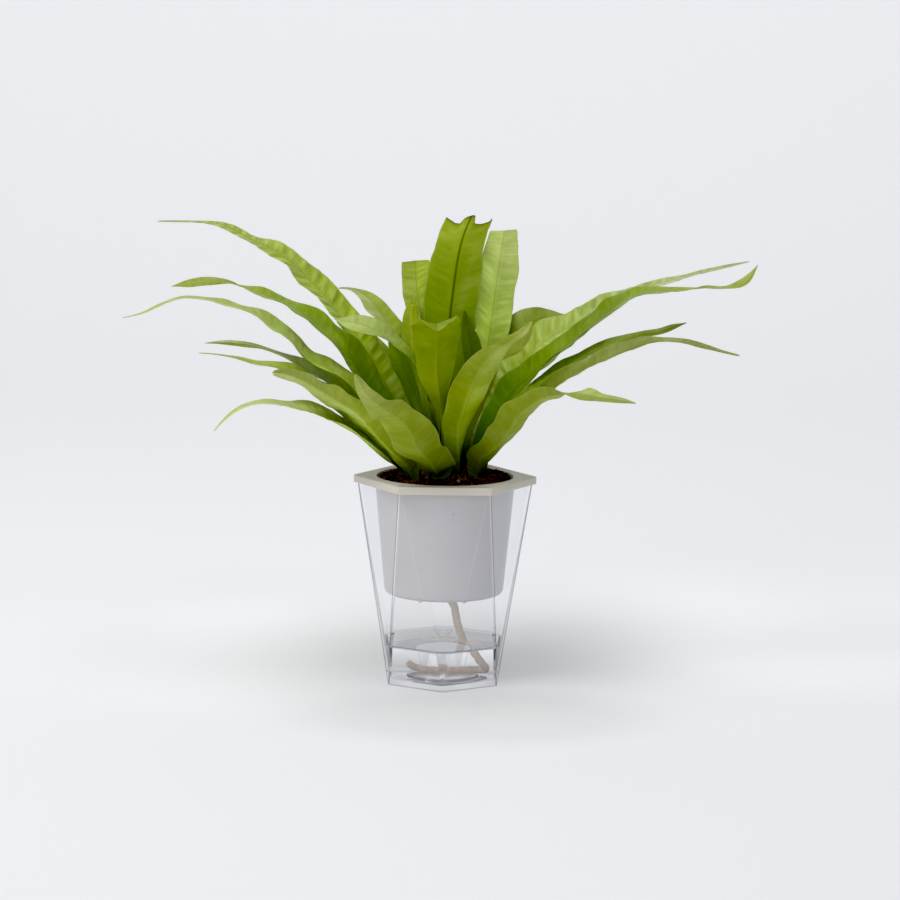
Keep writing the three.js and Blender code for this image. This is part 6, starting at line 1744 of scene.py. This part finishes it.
def leaf_material(name, low, high, tip, under, seed, vein=0.10, rough=0.36, glow=0.25, midrib=0.4, mid_w=1.0,
                  rim=0.20, streak=0.22, shine=0.45, bump=1.0, band=0.25):
    """low, high and tip are the blade's colours from its base to its end, for one of its two faces."""
    m, nt, out = new_material(name)
    a = node(nt, "ShaderNodeSeparateXYZ", {0: node(nt, "ShaderNodeUVMap", uv_map="blade").outputs[0]})
    b = node(nt, "ShaderNodeSeparateXYZ", {0: node(nt, "ShaderNodeUVMap", uv_map="mm").outputs[0]})
    at = calc(nt, "ABSOLUTE", calc(nt, "MULTIPLY_ADD", a.outputs[0], 2.0, -1.0))
    frac = a.outputs[1]
    d = calc(nt, "MULTIPLY", calc(nt, "SUBTRACT", b.outputs[0], 0.5), 100.0)
    ad = calc(nt, "ABSOLUTE", d)
    s = calc(nt, "MULTIPLY", calc(nt, "SUBTRACT", b.outputs[1], 0.05), 400.0)
    side = calc(nt, "SIGN", d)
    # lines that leave the midrib and climb towards the margin
    w = calc(nt, "SUBTRACT", s, calc(nt, "MULTIPLY", ad, 0.42))
    flow = node(nt, "ShaderNodeCombineXYZ", {0: calc(nt, "MULTIPLY", w, 0.42), 1: calc(nt, "MULTIPLY", d, 0.07), 2: calc(nt, "MULTIPLY_ADD", side, 3.0, float(seed))}).outputs[0]
    n_flow = node(nt, "ShaderNodeTexNoise", {"Vector": flow, "Scale": 1.0, "Detail": 3.0, "Roughness": 0.55}).outputs[0]
    wide = node(nt, "ShaderNodeCombineXYZ", {0: calc(nt, "MULTIPLY", w, 0.060), 1: calc(nt, "MULTIPLY", d, 0.075), 2: float(seed) + 7.7}).outputs[0]
    n_wide = node(nt, "ShaderNodeTexNoise", {"Vector": wide, "Scale": 1.0, "Detail": 2.0}).outputs[0]
    line = calc(nt, "ADD", calc(nt, "MULTIPLY", w, 2 * math.pi / 1.25), calc(nt, "MULTIPLY", n_flow, 5.0))
    vn = calc(nt, "MULTIPLY_ADD", calc(nt, "SINE", line), 0.5, 0.5)
    cell = node(nt, "ShaderNodeCombineXYZ", {0: calc(nt, "MULTIPLY", s, 1.0), 1: calc(nt, "MULTIPLY", d, 1.0), 2: float(seed)}).outputs[0]
    fine = node(nt, "ShaderNodeTexNoise", {"Vector": cell, "Scale": 3.2, "Detail": 2.0}).outputs[0]
    col = blend(nt, ramp(nt, frac, 0.04, 0.45), rgba(low), rgba(high))
    col = blend(nt, ramp(nt, frac, 0.50, 1.0), col, rgba(tip))
    # painted light and shade: the colour is scaled by the per-point brightness, partly tone and partly painted light
    # and shade
    tone_and_painted_light = node(nt, "ShaderNodeAttribute", attribute_name="tone_and_painted_light").outputs["Fac"]
    col = node(nt, "ShaderNodeVectorMath", {0: col, 3: tone_and_painted_light}, operation="SCALE").outputs[0]
    # painted sheen: mixed towards a pale grey-green by the pale attribute
    pale = node(nt, "ShaderNodeAttribute", attribute_name="pale").outputs["Fac"]
    col = blend(nt, calc(nt, "MULTIPLY", pale, ramp(nt, n_wide, 0.3, 0.7, 0.75, 1.15), clamp=True), col, rgba((0.66, 0.71, 0.46)))
    dark = node(nt, "ShaderNodeHueSaturation", {"Hue": 0.510, "Saturation": 1.10, "Value": 0.58, "Color": col}).outputs[0]
    lite = node(nt, "ShaderNodeHueSaturation", {"Hue": 0.494, "Saturation": 0.80, "Value": 1.36, "Color": col}).outputs[0]
    c2 = blend(nt, ramp(nt, n_flow, 0.32, 0.52, streak, 0.0), col, dark)
    c2 = blend(nt, ramp(nt, n_flow, 0.50, 0.72, 0.0, streak), c2, lite)
    c2 = blend(nt, ramp(nt, n_wide, 0.35, 0.60, 0.32, 0.0), c2, dark)
    c2 = blend(nt, ramp(nt, n_wide, 0.52, 0.75, 0.0, 0.30), c2, lite)
    # painted light and shade on the ribs: lighter where they rise, darker where they fall
    waves = node(nt, "ShaderNodeAttribute", attribute_name="bands").outputs["Fac"]
    waves = calc(nt, "ADD", waves, calc(nt, "MULTIPLY_ADD", n_flow, 1.6, -0.8))
    c2 = blend(nt, ramp(nt, waves, 0.0, 1.3, 0.0, band), c2, lite)
    c2 = blend(nt, ramp(nt, waves, -1.3, 0.0, band, 0.0), c2, dark)
    c2 = blend(nt, calc(nt, "MULTIPLY", vn, vein), c2, lite if not under else dark)
    c2 = blend(nt, ramp(nt, fine, 0.35, 0.6, 0.07, 0.0), c2, dark)
    # midrib: a fine raised line below, a shallow groove above
    mw = calc(nt, "MULTIPLY_ADD", frac, -0.62 * mid_w, 1.05 * mid_w)
    mid = ramp(nt, calc(nt, "DIVIDE", ad, mw), 0.15, 1.15, abs(midrib), 0.0)
    rib_col = node(nt, "ShaderNodeHueSaturation", {"Hue": 0.490, "Saturation": 0.82, "Value": 1.45, "Color": col}).outputs[0] if midrib > 0 else \
        node(nt, "ShaderNodeHueSaturation", {"Hue": 0.520, "Saturation": 1.10, "Value": 0.32, "Color": col}).outputs[0]
    c2 = blend(nt, mid, c2, rib_col)
    # thin pale margin
    c2 = blend(nt, ramp(nt, at, 0.93, 0.995, 0.0, rim), c2, rgba((0.58, 0.66, 0.30)))
    # painted shade: a dark, brown-green foot where the crown shades the blade
    foot = node(nt, "ShaderNodeAttribute", attribute_name="foot").outputs["Fac"]
    c2 = blend(nt, calc(nt, "MULTIPLY", foot, ramp(nt, n_flow, 0.3, 0.7, 1.0, 0.86), clamp=True), c2, rgba((0.036, 0.042, 0.006)))
    age = node(nt, "ShaderNodeAttribute", attribute_name="age").outputs["Fac"]
    patch = calc(nt, "MULTIPLY", age, ramp(nt, fine, 0.2, 0.6, 0.75, 1.15), clamp=True)
    c3 = blend(nt, patch, c2, rgba((0.130, 0.068, 0.020)))
    height = calc(nt, "ADD", calc(nt, "MULTIPLY", vn, 0.30), calc(nt, "MULTIPLY", n_flow, 1.6))
    bmp = node(nt, "ShaderNodeBump", {"Strength": 0.6 * bump, "Distance": 0.00036, "Height": height})
    ro = calc(nt, "ADD", ramp(nt, n_flow, 0.3, 0.7, rough + 0.06, rough - 0.05), calc(nt, "MULTIPLY", patch, 0.3))
    body = node(nt, "ShaderNodeBsdfPrincipled", {"Base Color": c3, "Roughness": ro, "IOR": 1.45, "Specular IOR Level": shine, "Normal": bmp.outputs[0]})
    pas = blend(nt, 0.5, c3, rgba((0.48, 0.60, 0.02)))
    pas = blend(nt, calc(nt, "MULTIPLY", mid, 0.8), pas, rgba((0.06, 0.09, 0.01)))
    # painted shade at the foot, in the light that shines through as well
    pas = blend(nt, foot, pas, rgba((0.02, 0.02, 0.003)))
    pas = blend(nt, patch, pas, rgba((0.05, 0.02, 0.004)))
    thin = node(nt, "ShaderNodeBsdfTranslucent", {"Color": pas})
    mix = node(nt, "ShaderNodeMixShader", {0: glow, 1: body.outputs[0], 2: thin.outputs[0]})
    nt.links.new(mix.outputs[0], out.inputs[0])
    return m


# colours of young and old blades, base to tip, upper face and underside
TONES = {
    "lime": dict(top=((0.200, 0.290, 0.006), (0.390, 0.510, 0.030), (0.500, 0.590, 0.140)),
                 low=((0.210, 0.270, 0.008), (0.400, 0.480, 0.040), (0.500, 0.560, 0.140))),
    "green": dict(top=((0.070, 0.185, 0.003), (0.252, 0.368, 0.006), (0.435, 0.510, 0.100)),
                  low=((0.105, 0.205, 0.005), (0.285, 0.368, 0.012), (0.435, 0.490, 0.100))),
    "warm": dict(top=((0.080, 0.185, 0.003), (0.280, 0.365, 0.006), (0.450, 0.505, 0.090)),
                 low=((0.120, 0.200, 0.005), (0.315, 0.365, 0.014), (0.445, 0.485, 0.090))),
    "fresh": dict(top=((0.150, 0.330, 0.006), (0.365, 0.530, 0.036), (0.550, 0.650, 0.190)),
                  low=((0.180, 0.330, 0.010), (0.350, 0.500, 0.050), (0.530, 0.600, 0.190))),
    "shade": dict(top=((0.060, 0.150, 0.002), (0.140, 0.260, 0.003), (0.240, 0.370, 0.010)),
                  low=((0.080, 0.160, 0.003), (0.170, 0.270, 0.005), (0.270, 0.370, 0.014))),
    "deep": dict(top=((0.070, 0.145, 0.003), (0.165, 0.245, 0.004), (0.245, 0.345, 0.014)),
                 low=((0.080, 0.170, 0.005), (0.180, 0.290, 0.014), (0.270, 0.360, 0.040))),
    "pale": dict(top=((0.210, 0.370, 0.010), (0.430, 0.570, 0.070), (0.550, 0.650, 0.190)),
                 low=((0.230, 0.340, 0.015), (0.430, 0.530, 0.090), (0.540, 0.620, 0.190))),
    "olive": dict(top=((0.125, 0.230, 0.002), (0.285, 0.420, 0.004), (0.400, 0.490, 0.030)),
                  low=((0.180, 0.260, 0.004), (0.365, 0.430, 0.012), (0.455, 0.500, 0.060))),
    "young": dict(top=((0.300, 0.380, 0.010), (0.400, 0.460, 0.014), (0.400, 0.460, 0.014)),
                  low=((0.300, 0.380, 0.010), (0.400, 0.460, 0.014), (0.400, 0.460, 0.014))),
}
LOOKS = {
    # name: tone and the shape's own traits
    "frond_left_1": dict(tone="lime", glow=0.25, shine=0.32, wave=0.5, lam=30, rib=0.34, rib_len=9, vein=0.16, streak=0.4, band=0.5, nicks=[(103, 1, 0.16, 1.1)], spots=[(96, 0.75, 1.6, 0.8)]),
    "frond_left_2": dict(tone="fresh", glow=0.25, shine=0.28, wave=0.3, rib=0.10, streak=0.2, foot=0.8, foot_shade_len=60),
    "frond_left_3": dict(tone="green", glow=0.38, shine=0.08, wave=0.4, rib=0.08),
    "frond_left_4": dict(tone="lime", wave=0.4, rib=0.08, foot=0.4),
    "frond_left_5": dict(tone="warm", wave=0.3, rib=0.06),
    "frond_left_6": dict(tone="lime", wave=0.5, rib=0.08),
    "frond_left_7": dict(tone="lime", wave=0.9, lam=24, rib=0.12, base_w=1.25),
    "frond_left_8": dict(tone="deep", wave=0.3),
    "frond_left_9": dict(tone="warm", wave=0.3, base_w=1.2),
    "frond_front_1": dict(tone="lime", shine=0.10, wave=1.1, lam=26, rib=0.14, base_w=1.45, base_len=34),
    "frond_front_2": dict(tone="olive", glow=0.45, shine=0.02, wave=0.4, rib=0.05, streak=0.10, fold=1.0, foot=0.5, upper=0.55),
    "frond_front_3": dict(tone="olive", glow=0.38, shine=0.08, wave=0.3, rib=0.06, streak=0.14, base_w=1.2, foot_shade_len=22),
    "frond_front_4": dict(tone="warm", glow=0.38, shine=0.08, wave=0.4),
    "frond_front_5": dict(tone="lime", wave=0.7, lam=24, rib=0.12, base_w=1.3, base_len=30, foot_shade_len=24),
    "frond_right_1": dict(tone="green", glow=0.38, shine=0.08, wave=0.5, rib=0.10),
    "frond_right_2": dict(tone="lime", glow=0.25, shine=0.32, wave=0.3, wide=0.93, rib=0.34, rib_len=8.5, streak=0.35, band=0.4),
    "frond_right_3": dict(tone="deep", glow=0.38, shine=0.08, wave=0.3),
    "frond_right_4": dict(tone="warm", wave=0.4, wide=1.06),
    "frond_right_5": dict(tone="olive", shine=0.08, wave=0.5, lam=20, rib=0.08),
    "frond_centre_1": dict(tone="olive", glow=0.45, shine=0.05, wave=0.4, lam=34, rib=0.07, streak=0.12, band=0.12, foot_shade_len=60, midrib=-0.85, mid_w=1.9, groove=0.5, fold=1.0,
                           tip_len=8.0, cut_span=30, cut_brown=0.75,
                           cut=[(-1, 5.0), (-.95, 6.0), (-.89, 7.4), (-.82, 8.2), (-.74, 8.9), (-.65, 9.6), (-.55, 10.1), (-.45, 10.4), (-.35, 10.4), (-.26, 10.2), (-.18, 4.9),
                                (-.05, 4.8), (.05, 5.6), (.18, 6.8), (.26, 8.4), (.35, 12.6), (.45, 13.0), (.55, 13.1), (.65, 12.6), (.82, 11.8), (.95, 11.2), (1, 10.8)]),
    "frond_centre_2": dict(tone="pale", glow=0.25, shine=0.32, wave=0.45, lam=30, rib=0.14, rib_len=7.5, streak=0.20, band=0.18, tip_len=14.0, cut_span=40, cut_brown=0.15,
                           cut=[(-1, 8.7), (-.89, 8.3), (-.74, 9.0), (-.55, 9.9), (-.35, 10.9), (-.18, 11.7), (0, 12.9), (.18, 13.8), (.35, 14.8), (.55, 16.1), (.74, 17.3), (.89, 18.3), (1, 19.3)]),
    "frond_centre_3": dict(tone="olive", glow=0.25, shine=0.20, wave=0.6, lam=26, rib=0.24, rib_len=7.0, streak=0.34, band=0.35, tip_len=8.0, cut_span=20, cut_brown=0.15,
                           cut=[(-1, 7.7), (-.74, 7.0), (-.35, 6.2), (0, 5.8), (.35, 5.7), (1, 5.8)]),
    "frond_centre_4": dict(tone="olive", glow=0.38, shine=0.05, wave=0.5, rib=0.12),
    "frond_inner_1": dict(tone="shade", glow=0.45, shine=0.02, wave=0.4, foot_shade_len=45),
    "frond_inner_2": dict(tone="shade", glow=0.45, shine=0.02, wave=0.4, foot_shade_len=45),
    "frond_young": dict(tone="young", wave=0.0, rib=0.0, streak=0.1, tip_len=1.5, thick=0.7),
    "frond_back_1": dict(tone="lime", shine=0.06, wave=0.4, rib=0.10),
}
# how bright each blade is, partly tone and partly painted light and shade: base, middle and end; then its two halves;
# and how pale each half is with painted sheen
SHADES = {
    "frond_back_1": dict(tone_and_painted_light=(1.05, 1.05, 0.85), painted_half_shade=(0.95, 1.1), pale=(0.0, 0.35)),
    "frond_centre_1": dict(tone_and_painted_light=(0.85, 0.85, 1.0), painted_half_shade=(0.9, 1.1), pale=(0.0, 0.0)),
    "frond_centre_2": dict(tone_and_painted_light=(1.2, 1.2, 1.25), painted_half_shade=(0.85, 1.2), pale=(0.0, 0.0)),
    "frond_centre_3": dict(tone_and_painted_light=(0.95, 0.95, 0.95), painted_half_shade=(1.15, 0.9), pale=(0.0, 0.0)),
    "frond_centre_4": dict(tone_and_painted_light=(1.0, 1.0, 1.0), painted_half_shade=(1.0, 1.0), pale=(0.0, 0.0)),
    "frond_front_1": dict(tone_and_painted_light=(0.85, 1.0, 1.0), painted_half_shade=(1.1, 0.9), pale=(0.05, 0.0)),
    "frond_front_2": dict(tone_and_painted_light=(1.6, 1.6, 1.6), painted_half_shade=(0.95, 1.05), pale=(0.0, 0.05)),
    "frond_front_3": dict(tone_and_painted_light=(1.6, 1.25, 1.25), painted_half_shade=(0.9, 1.15), pale=(0.1, 0.3)),
    "frond_front_4": dict(tone_and_painted_light=(1.25, 1.25, 1.25), painted_half_shade=(0.95, 1.0), pale=(0.0, 0.0)),
    "frond_front_5": dict(tone_and_painted_light=(1.0, 1.1, 0.8), painted_half_shade=(0.95, 1.2), pale=(0.05, 0.25)),
    "frond_inner_1": dict(tone_and_painted_light=(1.55, 1.55, 1.6), painted_half_shade=(1.2, 0.85), pale=(0.0, 0.0)),
    "frond_inner_2": dict(tone_and_painted_light=(0.55, 0.55, 0.65), painted_half_shade=(0.9, 1.05), pale=(0.0, 0.0)),
    "frond_left_1": dict(tone_and_painted_light=(1.55, 1.05, 0.9), painted_half_shade=(1.0, 1.05), pale=(0.0, 0.0)),
    "frond_left_2": dict(tone_and_painted_light=(0.7, 0.9, 0.95), painted_half_shade=(0.95, 1.1), pale=(0.0, 0.0)),
    "frond_left_3": dict(tone_and_painted_light=(1.5, 1.25, 1.35), painted_half_shade=(1.0, 1.0), pale=(0.05, 0.15)),
    "frond_left_4": dict(tone_and_painted_light=(1.05, 1.25, 1.25), painted_half_shade=(0.95, 1.35), pale=(0.35, 0.6)),
    "frond_left_5": dict(tone_and_painted_light=(1.6, 1.6, 0.7), painted_half_shade=(1.0, 0.95), pale=(0.6, 0.0)),
    "frond_left_6": dict(tone_and_painted_light=(1.0, 1.0, 1.0), painted_half_shade=(1.0, 1.0), pale=(0.1, 0.0)),
    "frond_left_7": dict(tone_and_painted_light=(1.55, 1.45, 1.2), painted_half_shade=(1.5, 0.75), pale=(0.6, 0.05)),
    "frond_left_9": dict(tone_and_painted_light=(1.6, 1.6, 1.6), painted_half_shade=(0.9, 1.5), pale=(0.45, 0.6)),
    "frond_right_1": dict(tone_and_painted_light=(1.1, 1.0, 1.6), painted_half_shade=(1.0, 1.0), pale=(0.3, 0.0)),
    "frond_right_2": dict(tone_and_painted_light=(1.2, 1.0, 0.9), painted_half_shade=(1.05, 1.0), pale=(0.6, 0.3)),
    "frond_right_3": dict(tone_and_painted_light=(1.6, 1.6, 0.7), painted_half_shade=(0.95, 1.0), pale=(0.0, 0.15)),
    "frond_right_4": dict(tone_and_painted_light=(1.25, 1.25, 0.9), painted_half_shade=(1.0, 1.0), pale=(0.3, 0.0)),
    "frond_right_5": dict(tone_and_painted_light=(0.7, 0.7, 0.9), painted_half_shade=(1.0, 1.0), pale=(0.0, 0.1)),
    "frond_young": dict(tone_and_painted_light=(1.15, 1.15, 1.15), painted_half_shade=(0.95, 1.05), pale=(0.0, 0.0)),
}


def build_leaves():
    made = {}
    for i, (name, (az, rows)) in enumerate(FRONDS.items()):
        look = dict(tone=("lime", "green", "pale")[i % 3], wave=0.6, lam=25.0, rib=0.12)
        look.update(LOOKS.get(name, {}))
        look.update(SHADES.get(name, {}))
        look["seed"] = 100 + i
        tone = TONES[look["tone"]]
        opts = dict(vein=look.get("vein", 0.10), streak=look.get("streak", 0.22), mid_w=look.get("mid_w", 1.0), glow=look.get("glow", 0.30))
        up = [tuple(v * look.get("upper", 1.0) for v in c) for c in tone["top"]]
        top = leaf_material(name + "_upper", *up, under=False, seed=i * 3.1, rough=0.34, shine=look.get("shine", 0.16), midrib=look.get("midrib", -0.30), band=look.get("band", 0.14), **opts)
        low = leaf_material(name + "_lower", *tone["low"], under=True, seed=i * 3.1, rough=0.46, shine=0.10, midrib=0.22, band=look.get("band_low", 0.05), **opts)
        ob = leaf_mesh(name.replace("frond", "leaf"), az, rows, look, [top, low])
        place(ob, name)
        made[name] = ob
    return made


LEAVES = build_leaves()

# ---------------------------------------------------------------- floor and light
def build_stage():
    prof = []
    for y in np.linspace(-4.0, 1.6, 15):
        prof.append((y, 0.0))
    R = 1.6
    for q in np.linspace(0, math.pi / 2, 25)[1:]:
        prof.append((1.6 + R * math.sin(q), R * (1 - math.cos(q))))
    prof += [(1.6 + R, 2.4), (1.6 + R, 4.5)]
    xs = np.linspace(-5, 5, 11)
    v = [(x * 1000, y * 1000, z * 1000 - 0.02) for y, z in prof for x in xs]
    n = len(xs)
    f = [(j * n + i, j * n + i + 1, (j + 1) * n + i + 1, (j + 1) * n + i) for j in range(len(prof) - 1) for i in range(n - 1)]
    m, nt, out = new_material("studio_paper")
    sp = node(nt, "ShaderNodeSeparateXYZ", {0: node(nt, "ShaderNodeTexCoord").outputs["Object"]})
    x, y = sp.outputs[0], sp.outputs[1]
    nx = calc(nt, "MULTIPLY", x, -1.0)
    near = ramp(nt, y, -0.6, 0.4, 0.01, 0.13, "LINEAR")
    far = ramp(nt, y, 0.3, 2.9, 0.0, 0.24, "LINEAR")
    # painted light: more glow on the floor to the right and left of the planter lifts the shadow the plant casts there
    right = calc(nt, "SUBTRACT", ramp(nt, x, 0.05, 0.17, 0.0, 0.13), ramp(nt, x, 0.17, 0.30, 0.0, 0.09))
    right = calc(nt, "MULTIPLY", right, calc(nt, "MULTIPLY", ramp(nt, y, -0.06, 0.06), ramp(nt, y, 0.15, 0.42, 1.0, 0.0)))
    left = calc(nt, "SUBTRACT", ramp(nt, nx, 0.03, 0.12, 0.0, 0.07), ramp(nt, nx, 0.12, 0.22, 0.0, 0.055))
    left = calc(nt, "MULTIPLY", left, calc(nt, "MULTIPLY", ramp(nt, y, -0.12, 0.0), ramp(nt, y, 0.14, 0.28, 1.0, 0.0)))
    # painted shadow: less glow just in front of the planter's foot
    cx, cy = calc(nt, "SUBTRACT", x, 0.02), calc(nt, "MULTIPLY", calc(nt, "ADD", y, 0.09), 1.6)
    r = calc(nt, "SQRT", calc(nt, "ADD", calc(nt, "MULTIPLY", cx, cx), calc(nt, "MULTIPLY", cy, cy)))
    close = ramp(nt, r, 0.05, 0.13, -0.085, 0.0)
    glow_and_painted_light = calc(nt, "ADD", calc(nt, "ADD", calc(nt, "ADD", near, far), calc(nt, "ADD", right, left)), close)
    glow_and_painted_light = calc(nt, "MAXIMUM", glow_and_painted_light, 0.0)
    # painted light: more glow under the cup's foot stands in for the light that the clear cup and its water gather
    # there
    foot = calc(nt, "SQRT", calc(nt, "ADD", calc(nt, "MULTIPLY", x, x), calc(nt, "MULTIPLY", y, y)))
    glow_and_painted_light = calc(nt, "ADD", glow_and_painted_light, ramp(nt, foot, 0.024, 0.033, 0.16, 0.0))
    bsdf = node(nt, "ShaderNodeBsdfPrincipled", {"Base Color": rgba((0.80, 0.805, 0.82)), "Roughness": 0.9, "Specular IOR Level": 0.1,
                                                "Emission Color": rgba((0.965, 0.975, 1.0)), "Emission Strength": glow_and_painted_light})
    nt.links.new(bsdf.outputs[0], out.inputs[0])
    ob = mesh_object("studio_floor", v, f, [m])


def area(name, loc, target, size, power, colour=(1, 1, 1)):
    d = bpy.data.lights.new(name, "AREA")
    d.shape, d.size, d.energy, d.color = "DISK", size, power, colour
    ob = bpy.data.objects.new(name, d)
    ob.location = loc
    ob.rotation_mode = "QUATERNION"
    ob.rotation_quaternion = (Vector(target) - Vector(loc)).to_track_quat("-Z", "Y")
    scene.collection.objects.link(ob)
    return ob


def build_light():
    world = bpy.data.worlds.new("studio")
    scene.world = world
    world.use_nodes = True
    bg = world.node_tree.nodes["Background"]
    bg.inputs[0].default_value = (0.95, 0.97, 1.0, 1)
    bg.inputs[1].default_value = 0.38
    area("key", (-1.25, -1.0, 2.0), (0, 0, 0.12), 1.1, 15.5, (1.0, 0.985, 0.96))
    area("top", (0.05, -0.35, 2.1), (0, 0.05, 0.12), 1.6, 16, (0.98, 0.99, 1.0))
    area("front", (-0.9, -2.0, 0.75), (0, 0, 0.16), 1.4, 9.5, (1.0, 0.99, 0.97))
    scene.view_settings.view_transform = "Standard"
    scene.view_settings.look = "None"
    scene.view_settings.exposure = 0.0
    scene.view_settings.gamma = 1.0
    scene.view_settings.use_curve_mapping = True
    scene.view_settings.curve_mapping.black_level = (0.010, 0.010, 0.012)
    scene.view_settings.curve_mapping.update()


build_stage()
build_light()
